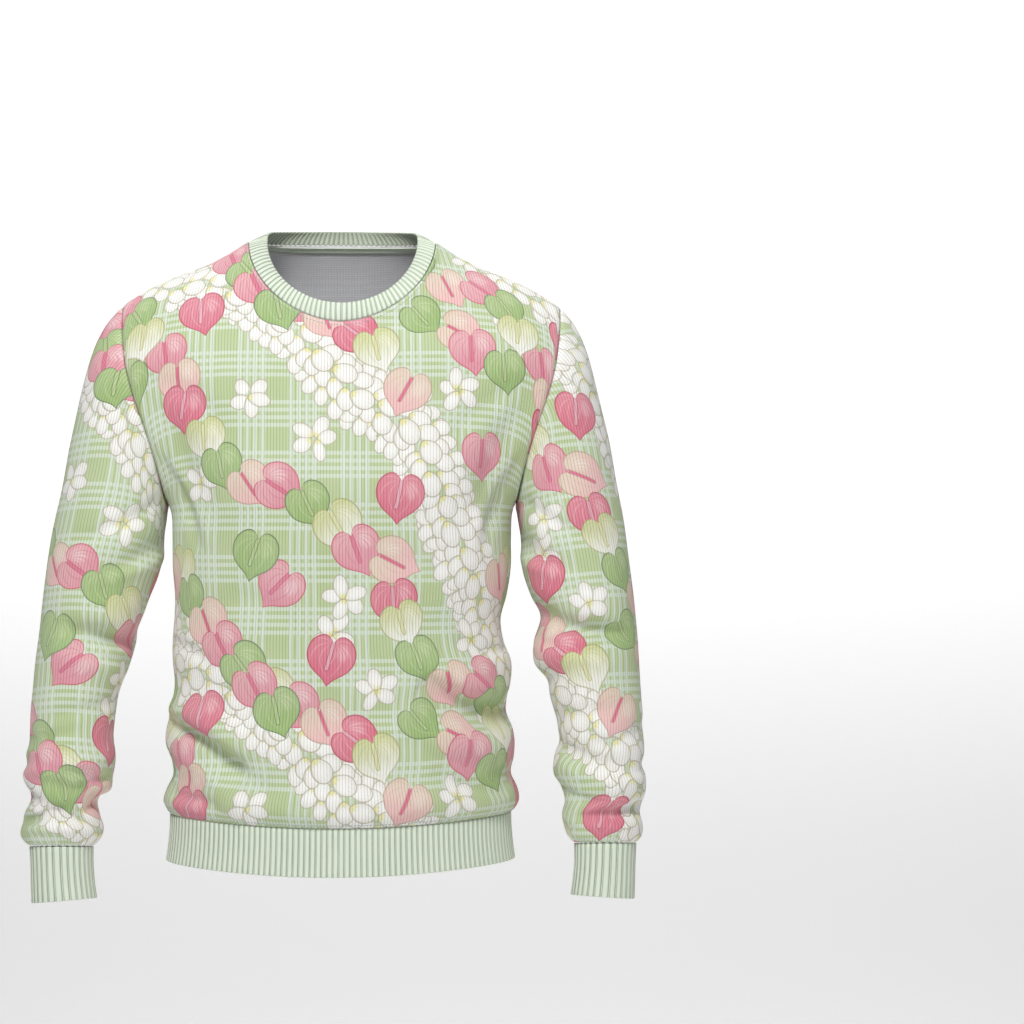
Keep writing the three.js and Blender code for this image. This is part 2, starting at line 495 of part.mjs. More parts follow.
// A sleeve's rings from the armhole down. The first is the armhole itself, taken from the panels.
function sleeveSheet(front, back, side) {
  const table = side < 0 ? RIGHT_SLEEVE : LEFT_SLEEVE;
  const folds = side < 0 ? RIGHT_SLEEVE_FOLDS : LEFT_SLEEVE_FOLDS;
  const underarm = front.heights.indexOf(UNDERARM_Z);
  const tip = front.heights.length - 1;
  const frontEdge = side < 0 ? 0 : PANEL_COLUMNS;
  const armhole = [];
  for (let r = tip; r > underarm; r -= 1) armhole.push(front.rows[r][frontEdge]);
  for (let r = underarm; r < tip; r += 1) armhole.push(back.rows[r][PANEL_COLUMNS - frontEdge]);
  const count = armhole.length;
  const steps = armhole.map((p, i) => p.distanceTo(armhole[(i + 1) % count]));
  const total = steps.reduce((sum, step) => sum + step, 0);
  let walked = 0;
  const startTurns = steps.map((step) => {
    const turn = walked / total;
    walked += step;
    return turn;
  });
  const ringPoint = (k, turn) => {
    const row = table[k];
    const angle = turn * 4 * quarter;
    const along = signedPower(Math.cos(angle), 2 / TUBE) / 2;
    const deep = row.deep * signedPower(Math.sin(angle), 2 / TUBE);
    const lean = WRIST_LEAN * smoothstep((k - ELBOW_RING) / (table.length - 1 - ELBOW_RING));
    return new THREE.Vector3(
      side * ((row.outX + row.inX) / 2 + along * (row.outX - row.inX)),
      -row.forward - deep,
      (row.outZ + row.inZ) / 2 + along * (row.outZ - row.inZ) + lean * deep,
    );
  };
  const turnsAt = (k) => {
    const even = smoothstep(k / SLEEVE_BLEND);
    return startTurns.map((turn, c) => turn + (c / count - turn) * even);
  };
  const plain = table.map((_, k) =>
    turnsAt(k).map((turn, c) => {
      const own = ringPoint(k, turn);
      const fromArmhole = armhole[c].clone().sub(ringPoint(0, startTurns[c]));
      return own.addScaledVector(fromArmhole, (1 - clamp01(k / SLEEVE_BLEND)) ** 2);
    }),
  );
  const facing = sheetNormals(plain, true);
  if (side < 0) facing.forEach((row) => row.forEach((normal) => normal.negate()));
  const last = table.length - 1;
  const rows = plain.map((ring, k) =>
    ring.map((p, c) => {
      const degrees = turnsAt(k)[c] * 360;
      const toSeams = smoothstep((k - 1) / 4) * smoothstep((last - k) / 2);
      const lift = folds.reduce((sum, fold) => {
        const off = ((degrees - fold.facing + 540) % 360) - 180;
        if (Math.abs(off) >= fold.reach) return sum;
        const across = p.z - fold.z - (fold.climb * off * Math.PI) / 180;
        const fade = Math.cos((off / fold.reach) * quarter);
        return sum + fold.rise * fade * Math.exp(-((across / fold.width) ** 2));
      }, 0);
      return p.clone().addScaledVector(facing[k][c], lift * toSeams);
    }),
  );
  if (side < 0) rows.reverse();
  return { rows, normals: sheetNormals(rows, true), cuffEnd: side < 0 ? 0 : last };
}

// Parts a panel from its neighbours seam by seam, so that a corner stands back from both of its
// seams, and gives it its thickness.
function panelGeometry({ rows, normals, heights }) {
  const top = rows.length - 1;
  const underarm = heights.indexOf(UNDERARM_Z);
  const moved = rows.map((row) => row.map((p) => p.clone()));
  const part = (places, towards) => {
    const line = places.map(([r, c]) => rows[r][c]);
    const beside = places.map(([r, c]) => rows[r + towards.rows][c + towards.columns]);
    const facing = places.map(([r, c]) => normals[r][c]);
    const shifts = partings(line, beside, facing, false);
    places.forEach(([r, c], i) => moved[r][c].add(shifts[i]));
  };
  const upEdge = (from, to, c) => Array.from({ length: to - from + 1 }, (_, i) => [from + i, c]);
  const alongTop = (from, to) => Array.from({ length: to - from + 1 }, (_, i) => [top, from + i]);
  for (const [from, to] of [[0, underarm], [underarm, top]]) {
    part(upEdge(from, to, 0), { rows: 0, columns: 1 });
    part(upEdge(from, to, PANEL_COLUMNS), { rows: 0, columns: -1 });
  }
  for (const [from, to] of [[0, NECK_FROM], [NECK_FROM, NECK_TO], [NECK_TO, PANEL_COLUMNS]])
    part(alongTop(from, to), { rows: -1, columns: 0 });
  return wall(moved, normals, CLOTH, false);
}

function sleeveGeometry({ rows, normals, cuffEnd }) {
  const armhole = cuffEnd === 0 ? rows.length - 1 : 0;
  const beside = rows[armhole + (armhole === 0 ? 1 : -1)].map((p, c) =>
    p.clone().addScaledVector(normals[armhole][c], CLOTH),
  );
  const moved = rows.map((row) => row.map((p) => p.clone()));
  const shifts = partings(rows[armhole], beside, normals[armhole], true);
  shifts.forEach((shift, c) => moved[armhole][c].add(shift));
  return wall(moved, normals, CLOTH, true);
}

// Turns a ring's normals square to an axis, so that the cloth ends in the plane of that ring.
function flattenRing(normals, axis) {
  for (const normal of normals) normal.addScaledVector(axis, -normal.dot(axis)).normalize();
}

function hemBand(front, back) {
  const points = [...front.rows[0].slice(0, -1), ...back.rows[0].slice(0, -1)];
  const normals = [...front.normals[0].slice(0, -1), ...back.normals[0].slice(0, -1)];
  const read = loopReader(points, [points, normals]);
  const place = (turn, v) => {
    const [point, normal] = read(turn, false);
    normal.normalize();
    const down = 1 - v;
    point.addScaledVector(normal, HEM_FLARE * down * down);
    point.z -= SEAM_GAP + HEM_BAND * down;
    return { point, normal };
  };
  return ribbedBand(place, HEM_RIBS, [0, 1]);
}

function cuffBand(sleeve, side) {
  const ring = sleeve.rows[sleeve.cuffEnd];
  const middle = ring.reduce((sum, p) => sum.add(p), new THREE.Vector3()).multiplyScalar(1 / ring.length);
  const sections = Object.fromEntries(
    ["inward", "wide", "deep"].map((name) => [name, curveThrough(CUFF, "down", name)]),
  );
  const place = (turn, v) => {
    const down = CUFF_BAND * (1 - v);
    const angle = turn * 4 * quarter;
    const wide = sections.wide(down);
    const deep = sections.deep(down);
    const along = Math.cos(angle);
    const aside = Math.sin(angle);
    const reach = wide * signedPower(along, 2 / TUBE);
    const back = deep * signedPower(aside, 2 / TUBE);
    const point = new THREE.Vector3(
      middle.x - side * sections.inward(down) + reach,
      middle.y + back,
      middle.z - SEAM_GAP - down - WRIST_LEAN * back - (side * CUFF_TILT * reach * down) / CUFF_BAND,
    );
    const normal = new THREE.Vector3(along / wide, aside / deep, 0);
    flattenRing([normal], WRIST_AXIS);
    return { point, normal };
  };
  return ribbedBand(place, CUFF_RIBS, [0, 0.5, 1]);
}

// The neck rib, between the neck seam and its own free edge. The free edge is a smaller oval that
// stands higher at the back than at the front.
function neckBand(front, back) {
  const top = front.rows.length - 1;
  const seamOf = (lists) => [front, back].flatMap((sheet) => sheet[lists][top].slice(NECK_FROM, NECK_TO));
  const points = seamOf("rows");
  const normals = seamOf("normals");
  const freeEdge = points.map((p, i) => {
    const turn = (2 * quarter * i) / (NECK_TO - NECK_FROM) - quarter;
    const forward = Math.cos(turn);
    const y = -forward * (forward > 0 ? NECK_EDGE.front : NECK_EDGE.back);
    const climb = forward > 0 ? -NECK_EDGE.drop * forward : NECK_EDGE.rise * Math.sqrt(-forward);
    return new THREE.Vector3(NECK_EDGE.halfWidth * Math.sin(turn), y, NECK_EDGE.z + climb);
  });
  const away = acrossSeam(points, normals, true).map((way, i) =>
    way.multiplyScalar(Math.sign(way.dot(freeEdge[i].clone().sub(points[i])))),
  );
  const read = loopReader(points, [points, normals, away, freeEdge]);
  const place = (turn, v) => {
    const seam = read(turn, true);
    const smooth = read(turn, false);
    const [point, normal, way, end] = seam.map((value, k) => value.lerp(smooth[k], clamp01(2 * v)));
    point.addScaledVector(way.normalize(), NECK_GAP);
    const lean = end.clone().sub(point).normalize();
    point.lerp(end, v);
    const facing = normal.addScaledVector(lean, -normal.dot(lean) * v).normalize();
    point.addScaledVector(facing, NECK_EDGE.bulge * Math.sin(Math.PI * v));
    return { point, normal: facing };
  };
  return ribbedBand(place, NECK_RIBS, [0, 0.5, 1]);
}

// The tape sewn over the back neck seam, laid along the inside of the back panel from its points.
function neckTape(back) {
  const top = back.rows.length - 1;
  const columns = Array.from({ length: NECK_TO - NECK_FROM - 1 }, (_, i) => NECK_FROM + 1 + i);
  const levels = [
    { row: top - 2, share: 1 - TAPE_WIDTH },
    { row: top - 1, share: 0 },
    { row: top - 1, share: 0.8 },
  ];
  const between = (lists, { row, share }, c) => lists[row][c].clone().lerp(lists[row + 1][c], share);
  const normals = levels.map((level) => columns.map((c) => between(back.normals, level, c).normalize()));
  const rows = levels.map((level, r) =>
    columns.map((c, i) => between(back.rows, level, c).addScaledVector(normals[r][i], -CLOTH - TAPE_GAP)),
  );
  return wall(rows, normals, TAPE, false);
}

function piece(name, geometry, color, roughness) {
  const material = new THREE.MeshStandardMaterial({ color, roughness, metalness: 0 });
  geometry.computeVertexNormals();
  const mesh = new THREE.Mesh(geometry, material);
  mesh.name = name;
  return mesh;
}

const frontSheet = panelSheet(true);
const backSheet = panelSheet(false);
const rightSheet = sleeveSheet(frontSheet, backSheet, -1);
const leftSheet = sleeveSheet(frontSheet, backSheet, 1);
shareNormals([frontSheet, backSheet]);
shareNormals([frontSheet, backSheet, rightSheet, leftSheet]);
flattenRing(frontSheet.normals[0], new THREE.Vector3(0, 0, 1));
flattenRing(backSheet.normals[0], new THREE.Vector3(0, 0, 1));
for (const sheet of [rightSheet, leftSheet]) flattenRing(sheet.normals[sheet.cuffEnd], WRIST_AXIS);

const sweater = new THREE.Group();
sweater.name = "sweater";
sweater.add(
  piece("front_panel", panelGeometry(frontSheet), LEAF_GREEN, 0.9),
  piece("back_panel", panelGeometry(backSheet), LEAF_GREEN, 0.9),
  piece("right_sleeve", sleeveGeometry(rightSheet), LEAF_GREEN, 0.9),
  piece("left_sleeve", sleeveGeometry(leftSheet), LEAF_GREEN, 0.9),
  piece("hem_rib", hemBand(frontSheet, backSheet), MINT, 0.92),
  piece("right_cuff", cuffBand(rightSheet, -1), MINT, 0.92),
  piece("left_cuff", cuffBand(leftSheet, 1), MINT, 0.92),
  piece("neck_rib", neckBand(frontSheet, backSheet), MINT, 0.92),
  piece("neck_tape", neckTape(backSheet), TAPE_GREEN, 0.9),
);

export default sweater;
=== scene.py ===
# %% [markdown]
# # A printed crew-neck sweater, finished over its solid frame
#
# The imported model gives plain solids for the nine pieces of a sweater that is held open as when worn.
# This lesson lays fine knitted cloth over them: each piece is a surface worked out with numpy in the
# maker's own sizes, and each finish is a material made of nodes, with no picture anywhere.
# Lengths are millimetres in the working and metres in the meshes.

# %% Load the frame
import math

import bpy
import numpy as np
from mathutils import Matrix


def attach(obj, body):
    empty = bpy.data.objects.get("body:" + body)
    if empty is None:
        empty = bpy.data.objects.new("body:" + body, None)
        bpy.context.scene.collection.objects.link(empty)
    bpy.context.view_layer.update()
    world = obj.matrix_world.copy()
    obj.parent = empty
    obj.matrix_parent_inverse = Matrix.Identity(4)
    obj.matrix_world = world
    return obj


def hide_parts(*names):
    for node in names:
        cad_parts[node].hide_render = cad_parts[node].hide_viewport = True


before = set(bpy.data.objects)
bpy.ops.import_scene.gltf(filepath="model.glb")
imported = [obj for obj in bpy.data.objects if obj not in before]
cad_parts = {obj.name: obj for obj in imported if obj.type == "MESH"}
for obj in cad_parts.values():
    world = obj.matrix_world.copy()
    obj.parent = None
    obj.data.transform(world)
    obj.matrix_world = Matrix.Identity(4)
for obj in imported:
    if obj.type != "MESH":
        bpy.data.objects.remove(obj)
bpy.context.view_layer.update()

MM = 0.001

# %% [markdown]
# ## The camera
#
# The garment is seen from the front, level with its middle, from 2.5 m away. It stands left of the
# picture's centre, so the camera is turned towards the empty side instead of being shifted.

# %% Camera
camera = bpy.data.objects.new("camera", bpy.data.cameras.new("camera"))
bpy.context.scene.collection.objects.link(camera)
bpy.context.scene.camera = camera
camera.data.lens = 81.17
camera.data.sensor_width = 36
camera.location = (0.0672, -2.5, -0.322)
camera.rotation_euler = (math.radians(90 + 0.706), 0, math.radians(-2.659))
camera.data.clip_start, camera.data.clip_end = 0.05, 60
print("camera lens", camera.data.lens, "mm")

# %% [markdown]
# ## Small tools for surfaces
#
# A surface is a grid of points: rows one way, columns the other. Tables with named columns give its
# sections, and a smooth curve runs through each column. The helpers here read such tables, give a grid
# its normals and turn a grid into a mesh. They work on whole arrays at once.


# %% Curves through tables
def smoothstep(t):
    """Rises from 0 to 1 as 3t^2 - 2t^3, level at both ends."""
    t = np.clip(t, 0, 1)
    return t * t * (3 - 2 * t)


def signed_power(t, power):
    """The power of a number's size, with the number's own sign kept."""
    return np.sign(t) * np.abs(t) ** power


def bell(distance, width):
    """exp(-(distance/width)^2): 1 in the middle of a fold or seam, and fading to both sides."""
    return np.exp(-((distance / width) ** 2))


class Table:
    """Named columns read as smooth curves along the first: cubics whose slope at each row is the
    rise between the rows before and after it."""

    def __init__(self, names, rows):
        rows = np.array(rows, float)
        self.at, self.last = rows[:, 0], len(rows) - 1
        self.value = {name: rows[:, i + 1] for i, name in enumerate(names.split()[1:])}

    def read(self, name, place):
        at, value = self.at, self.value[name]
        here = np.arange(self.last + 1)
        before, after = np.maximum(here - 1, 0), np.minimum(here + 1, self.last)
        slope = (value[after] - value[before]) / (at[after] - at[before])
        p = np.clip(place, at[0], at[-1])
        i = np.clip(np.searchsorted(at, p, side="left") - 1, 0, self.last - 1)
        step = at[i + 1] - at[i]
        t = (p - at[i]) / step
        return (value[i] * (1 + 2 * t) * (1 - t) ** 2 + value[i + 1] * t * t * (3 - 2 * t)
                + slope[i] * step * t * (1 - t) ** 2 + slope[i + 1] * step * t * t * (t - 1))


# %% Normals, lengths and meshes of grids
def unit(vectors):
    """Vectors divided by their own lengths."""
    return vectors / np.maximum(np.linalg.norm(vectors, axis=-1, keepdims=True), 1e-12)


def grid_normals(points, around=False):
    """At each point the mean of the cross products of the diagonals of the faces round it."""
    if around:
        points = np.concatenate([points, points[:, :1]], 1)
    across = points[1:, 1:] - points[:-1, :-1]
    up = points[1:, :-1] - points[:-1, 1:]
    face = np.cross(across, up)
    total = np.zeros_like(points)
    for i, j in ((0, 0), (0, 1), (1, 0), (1, 1)):
        total[i:len(total) - 1 + i, j:total.shape[1] - 1 + j] += face
    if around:
        total[:, 0] += total[:, -1]
        total = total[:, :-1]
    return unit(total)


def steps(points, axis):
    """Distances between neighbouring points along one axis of a grid."""
    return np.linalg.norm(np.diff(points, axis=axis), axis=-1)


def mesh_from_grid(name, points, around=False, along=False, flip=False):
    """Joins neighbouring points of a grid with quads. around closes the columns to a ring and along
    closes the rows. Returns the object and, for each quad, the grid places of its corners."""
    rows, columns = points.shape[:2]
    r = np.arange(rows - (0 if along else 1))[:, None, None]
    c = np.arange(columns - (0 if around else 1))[None, :, None]
    down, right = np.array([0, 0, 1, 1]), np.array([0, 1, 1, 0])
    if flip:
        down, right = down[::-1], right[::-1]
    place = (r + down + 0 * c).reshape(-1, 4), (c + right + 0 * r).reshape(-1, 4)
    corner = (place[0] % rows) * columns + place[1] % columns
    mesh = bpy.data.meshes.new(name)
    mesh.vertices.add(rows * columns)
    mesh.vertices.foreach_set("co", (points.reshape(-1) * MM).astype(np.float32))
    mesh.loops.add(corner.size)
    mesh.loops.foreach_set("vertex_index", corner.ravel().astype(np.int32))
    mesh.polygons.add(len(corner))
    mesh.polygons.foreach_set("loop_start", np.arange(0, corner.size, 4, dtype=np.int32))
    mesh.update(calc_edges=True)
    mesh.polygons.foreach_set("use_smooth", np.ones(len(corner), bool))
    mesh.update()
    piece = bpy.data.objects.new(name, mesh)
    bpy.context.scene.collection.objects.link(piece)
    return piece, place


def corner_vectors(piece, name, values):
    """Stores a vector for each corner of each face, which a material reads as an attribute."""
    attribute = piece.data.attributes.new(name, "FLOAT_VECTOR", "CORNER")
    attribute.data.foreach_set("vector", values.astype(np.float32).ravel())


# %% [markdown]
# ## The body of the sweater
#
# A pullover's body is two cut panels, front and back, joined at the side and shoulder seams. Each is
# drawn here as the worn body's sections: at every height a half-width and two depths, with a rounded
# oval between them. The rows start level at the hem and lift towards the neck and shoulders. The sizes
# are those of the solids, so the cloth lies where they are.

# %% Sizes of the body
NECK_HALF_WIDTH, NECK_DROP, NECK_RISE, NECK_ROUND = 101, 92, 4, 1.85
NAPE_HEIGHT, SHOULDER_CURVE, TIP_X, TIP_Z = 38, 3, 236, -70
HEM_Z, HEM_DIP, HEM_LIFT, HEM_REACH = -614, 6.5, 3, 90
UNDERARM_Z, LIFT_FROM, LIFT_POWER = -281, -340, 1.5
OVAL, HEM_OVAL, ARCH, FRONT_ROUND, BACK_ROUND = 2.3, 2, 2.2, 95, 110
NECK_SHARE = 16 / 28
CLOTH = 2.2
BODY = Table("z right left beyond front back", [
    (-614, 184.5, 182.5, 0, 103, 104), (-608, 188, 187.5, 0, 108, 109),
    (-600, 191, 190.5, 0, 112.5, 113), (-588, 187.5, 188.5, 0, 113.5, 114.5),
    (-572, 180, 181.5, 0, 112, 114.5), (-556, 182, 184.5, 0, 112, 115),
    (-540, 188, 185.5, 0, 114, 116.5), (-524, 188, 183, 0, 114, 117),
    (-508, 184.5, 177, 0, 112.5, 116.5), (-490, 180, 177, 0, 112.5, 116),
    (-472, 179, 181, 0, 114, 116.5), (-452, 181, 181.5, 0, 115, 117.5),
    (-430, 181.5, 173.5, 0, 115.5, 118), (-406, 179.5, 170.5, 0, 116.5, 119),
    (-380, 179, 177, 0, 118, 120), (-350, 181, 181.5, 0, 120.5, 121),
    (-320, 181.5, 181.5, 0, 123, 121.5), (-294, 182.5, 182.5, 0, 124.5, 121.5),
    (-281, 187, 187, 0, 125, 121), (-268, 189.5, 189.5, 5.5, 124.5, 121.5),
    (-250, 193.5, 193.5, 13, 122.5, 122), (-228, 199, 199, 22, 118, 121.5),
    (-200, 208, 208, 31, 112, 119.5), (-170, 218.5, 218.5, 36, 105, 116),
    (-140, 227, 227, 36, 97, 110), (-112, 232, 232, 32.5, 87, 103.5),
    (-92, 234.5, 234.5, 28.5, 78, 97), (-79, 235.5, 235.5, 27, 73.5, 92),
    (-72, 236, 236, 26, 71.5, 89.5), (-70, 236, 236, 26, 71, 89),
    (-40, 236, 236, 26, 62, 82), (0, 236, 236, 26, 54, 74), (40, 236, 236, 26, 49, 66),
])


# %% The panel as a function of two parameters
def ridge(x):
    """Height of the shoulder seam: a slope from neck to tip with a slight wave, and a parabola over
    the neck that the panels' curve aims at."""
    out = (np.abs(x) - NECK_HALF_WIDTH) / (TIP_X - NECK_HALF_WIDTH)
    over = NAPE_HEIGHT * (1 - (x / NECK_HALF_WIDTH) ** 2)
    return np.where(out < 0, over, TIP_Z * out - SHOULDER_CURVE * np.sin(2 * np.pi * out))


def top_edge(share, front):
    """The panel's top edge: a superellipse for the neck curve, then the shoulder seam."""
    s = np.abs(share)
    out = (s - NECK_SHARE) / (1 - NECK_SHARE)
    turn = np.clip(s / NECK_SHARE, 0, 1) * np.pi / 2
    cosine = np.maximum(np.cos(turn), 0)
    power = 2 / NECK_ROUND
    neck_x = NECK_HALF_WIDTH * np.sin(turn) ** (power if front else 1)
    neck_z = -NECK_DROP * cosine**power if front else NECK_RISE * cosine
    shoulder_x = NECK_HALF_WIDTH + (TIP_X - NECK_HALF_WIDTH) * np.maximum(out, 0)
    x = np.where(out >= 0, shoulder_x, neck_x)
    return np.sign(share) * x, np.where(out >= 0, ridge(x), neck_z)


def half_width(x, z):
    """The worn body's half-width on the side where x is."""
    return np.where(x < 0, BODY.read("right", z), BODY.read("left", z))


def body_depth(x, z, widest, oval, front):
    """depth(z) * (1 - (x/widest)^oval)^(1/oval), rounded over towards the shoulder line."""
    across = (1 - np.clip(np.abs(x) / widest, 0, 1) ** oval) ** (1 / oval)
    below = np.clip((ridge(x) - z) / (FRONT_ROUND if front else BACK_ROUND), 0, 1)
    over = (1 - (1 - below) ** ARCH) ** (1 / ARCH)
    depth = BODY.read("front" if front else "back", z) * across * over
    return -depth if front else depth


def panel_points(share, edge_z, front):
    """share runs from -1 at the wearer's right edge to 1 at the left, and edge_z is the height at
    which a row meets those edges. Columns spread as sin(share * 90 degrees)."""
    spread = np.sin(share * np.pi / 2)
    edge_x = half_width(share, edge_z)
    lift = np.clip((edge_z - LIFT_FROM) / (TIP_Z - LIFT_FROM), 0, 1) ** LIFT_POWER
    top_x, top_z = top_edge(share, front)
    x = spread * edge_x + lift * (top_x - spread * TIP_X)
    z = edge_z + lift * (top_z - TIP_Z)
    reach = np.maximum(half_width(share, z) + BODY.read("beyond", z), np.abs(x))
    widest = np.where(edge_z <= LIFT_FROM, edge_x, reach)
    low = 1 - smoothstep((edge_z - HEM_Z) / HEM_REACH)
    y = body_depth(x, z, widest, OVAL + (HEM_OVAL - OVAL) * low, front)
    aside = np.clip(np.abs(x) / widest, 0, 1)
    z = z + (-HEM_DIP if front else HEM_LIFT) * low * (1 - aside**2) ** 1.5
    return np.stack([x, y, z], -1) + 0.0


# %% [markdown]
# ## Folds
#
# Worn knit blouses over its ribs and creases at the elbows and under the arms. Each fold is listed:
# two ends, a sag between them, a width, and how far it rises (or sinks, below zero). A bell curve
# runs across it and it fades out at both ends. The first rows of each table are the folds of the
# solids, and finer creases follow.

# %% Folds of the panels
# Columns: from x and z, to x and z, sag, width and rise.
FRONT_FOLDS = [
    (-192, -515, -98, -572, 10, 13, -9), (-188, -490, -92, -545, 10, 17, 7),
    (-182, -560, -100, -600, 6, 15, 5), (80, -470, 184, -515, -8, 13, -8), (70, -445, 184, -478, -6, 17, 5),
    (100, -512, 184, -545, -6, 16, 5), (-215, -160, -150, -300, 14, 16, -7),
    (215, -160, 150, -300, -14, 16, -7), (-120, -590, 120, -590, -8, 14, 4),
]
BACK_FOLDS = [
    (184, -395, 10, -480, 16, 18, -9), (180, -440, -30, -520, 18, 17, 9), (182, -500, 0, -555, 14, 15, -8),
    (-184, -470, -60, -545, -12, 16, -7), (-184, -430, -50, -500, -12, 18, 6),
    (205, -190, 120, -330, -16, 18, -8), (-205, -190, -120, -330, 16, 18, -8),
    (-130, -592, 130, -592, -8, 14, 5),
]


def fold_lift(folds, x, z):
    """Adds up rise * sqrt(4a(1-a)) * exp(-(across/width)^2) over the folds, with a the share of the
    way along each."""
    total = np.zeros_like(x)
    for x1, z1, x2, z2, sag, width, rise in folds:
        run_x, run_z = x2 - x1, z2 - z1
        length = math.hypot(run_x, run_z)
        along = np.clip(((x - x1) * run_x + (z - z1) * run_z) / length**2, 0, 1)
        bow = 4 * along * (1 - along)
        across = ((z - z1) * run_x - (x - x1) * run_z) / length - sag * bow
        total += rise * np.sqrt(bow) * bell(across, width)
    return total


# %% Grids of the two panels
PANEL_COLUMNS = 28 * 7
low_rows = np.linspace(HEM_Z, UNDERARM_Z, 124)
high_rows = TIP_Z - (TIP_Z - UNDERARM_Z) * (1 - np.linspace(0, 1, 79)) ** 1.3
ROW_HEIGHTS = np.concatenate([low_rows, high_rows[1:]])
UNDERARM_ROW, TOP_ROW = 123, len(ROW_HEIGHTS) - 1
NECK_FROM, NECK_TO = PANEL_COLUMNS * 6 // 28, PANEL_COLUMNS * 22 // 28


EVENED_ROWS, EVENED_RINGS = 26, 30  # rows each way over which the cloth coordinates are averaged


def hump(reach):
    """Weights of a moving average: 1 + cos, from -reach to reach."""
    return 1 + np.cos(np.pi * np.arange(-reach, reach + 1) / (reach + 1))


def evened(values, reach):
    """Values averaged along the rows of a grid, reach rows each way, with the end rows held."""
    weight = hump(reach)
    padded = np.concatenate([np.repeat(values[:1], reach, 0), values, np.repeat(values[-1:], reach, 0)])
    total = sum(w * padded[k:k + len(values)] for k, w in enumerate(weight))
    return total / weight.sum()


def cloth_across(points, front):
    """Distance over the cloth from the panel's middle at one height: the body's section there,
    measured in 32 steps out to each point."""
    x, z = points[..., 0, None], points[..., 2, None]
    ways = x * np.sin(np.linspace(0, np.pi / 2, 33))
    widest = np.where(z <= LIFT_FROM, half_width(x, z),
                      np.maximum(half_width(x, z) + BODY.read("beyond", z), np.abs(x)))
    y = body_depth(ways, z + 0 * ways, widest, OVAL, front)
    return np.sign(points[..., 0]) * np.hypot(np.diff(ways), np.diff(y)).sum(-1)


def panel_sheet(front):
    """A panel's grid of points with its folds, its normals and its cloth coordinates u and v: the
    distance over the cloth from the middle, and up from the hem."""
    share = np.linspace(-1, 1, PANEL_COLUMNS + 1)
    if not front:
        share = share[::-1]
    plain = panel_points(share[None, :], ROW_HEIGHTS[:, None], front)
    u = evened(cloth_across(plain, front) * (1 if front else -1), EVENED_ROWS)
    rise = steps(plain, 0)
    level = (ROW_HEIGHTS[:-1] < LIFT_FROM)[:, None]
    rise = np.where(level, rise.mean(1, keepdims=True), rise)
    v = np.concatenate([np.zeros((1, len(share))), np.cumsum(rise, 0)])
    to_side = 1 - np.abs(share) ** 6
    to_seams = (smoothstep((ROW_HEIGHTS - HEM_Z) / 18) * smoothstep((TIP_Z - ROW_HEIGHTS) / 70))[:, None]
    lift = fold_lift(FRONT_FOLDS if front else BACK_FOLDS, plain[..., 0], plain[..., 2])
    points = plain + grid_normals(plain) * (lift * to_side * to_seams)[..., None]
    return {"points": points, "normals": grid_normals(points), "u": u, "v": v}


front = panel_sheet(True)
back = panel_sheet(False)
print("front panel", round(np.ptp(front["u"])), "mm round and", round(front["v"].max()), "mm long")

# %% [markdown]
# ## The sleeves
#
# A set-in sleeve is one piece of cloth, closed along the underarm and sewn into the armhole. Its first
# ring is the armhole itself, taken from the panels' edges, and over the next rings it turns into the
# arm's own rounded sections. Low on the arm the rings crowd together where the cloth stacks above the
# cuff.

# %% Sizes of the sleeves
TUBE, WRIST_LEAN, SLEEVE_BLEND, ELBOW_RING, LAST_RING = 2.15, 0.12, 6, 8, 20
RING_NAMES = "ring outX outZ inX inZ deep forward"
RIGHT_SLEEVE = Table(RING_NAMES, [(k, *row) for k, row in enumerate([
    (236, -70, 187, -281, 62, 0), (253.5, -92, 188.5, -294, 64, 0), (267.5, -120, 189, -306, 65.5, 1),
    (280, -165, 189.5, -319, 66, 2), (289.5, -215, 191.5, -336, 65.5, 4), (301, -275, 197.5, -360, 64, 6),
    (312, -330, 209, -388, 62, 8), (317.5, -380, 219, -412, 59, 10), (321.5, -420, 219.5, -433.5, 57, 12),
    (325, -449, 227.5, -455, 55.5, 14), (327.5, -475, 235, -476, 54, 16), (329.5, -502, 240, -502, 52.5, 18),
    (330, -526, 243, -528, 51, 20), (335.5, -551, 240.5, -550, 50.5, 22), (338, -567, 242, -570, 49, 23),
    (333, -585, 244.5, -587, 46.5, 24.5), (329.5, -599, 257, -600, 44, 25.5),
    (337, -613, 256, -612.5, 46, 26.5), (340.5, -626, 252, -626, 44.5, 27),
    (337, -637.5, 254.5, -637, 40, 28), (330, -645.5, 262, -645.5, 33, 28.5),
])])
LEFT_SLEEVE = Table(RING_NAMES, [(k, *row) for k, row in enumerate([
    (236, -70, 187, -281, 62, 0), (252.5, -92, 188.5, -294, 64, 0), (265, -119, 189.5, -307, 65.5, 1),
    (276, -160, 190.5, -321, 66, 2), (286, -205, 193, -338, 65.5, 4), (297, -262, 195, -356, 64, 6),
    (306.5, -318, 204, -382, 62, 8), (312.5, -370, 214, -404, 60, 10), (317, -414.5, 207, -430, 58, 12),
    (319, -446, 206.5, -453, 56.5, 14), (321, -475, 218, -476.5, 54, 16), (322.5, -502, 227, -502, 52, 18),
    (323.5, -528, 231.5, -529, 50.5, 20), (325.5, -551, 227.5, -552, 49.5, 22),
    (326.5, -571, 227, -571, 48.5, 23), (326.5, -588, 234, -587.5, 46.5, 24.5),
    (324, -602, 237.5, -600, 44.5, 25.5), (320, -614, 235, -613.5, 45.5, 26.5),
    (322, -626.5, 236.5, -626, 44, 27), (321.5, -637.5, 241.5, -637.5, 40, 28),
    (316, -645.5, 248, -645.5, 33, 28.5),
])])

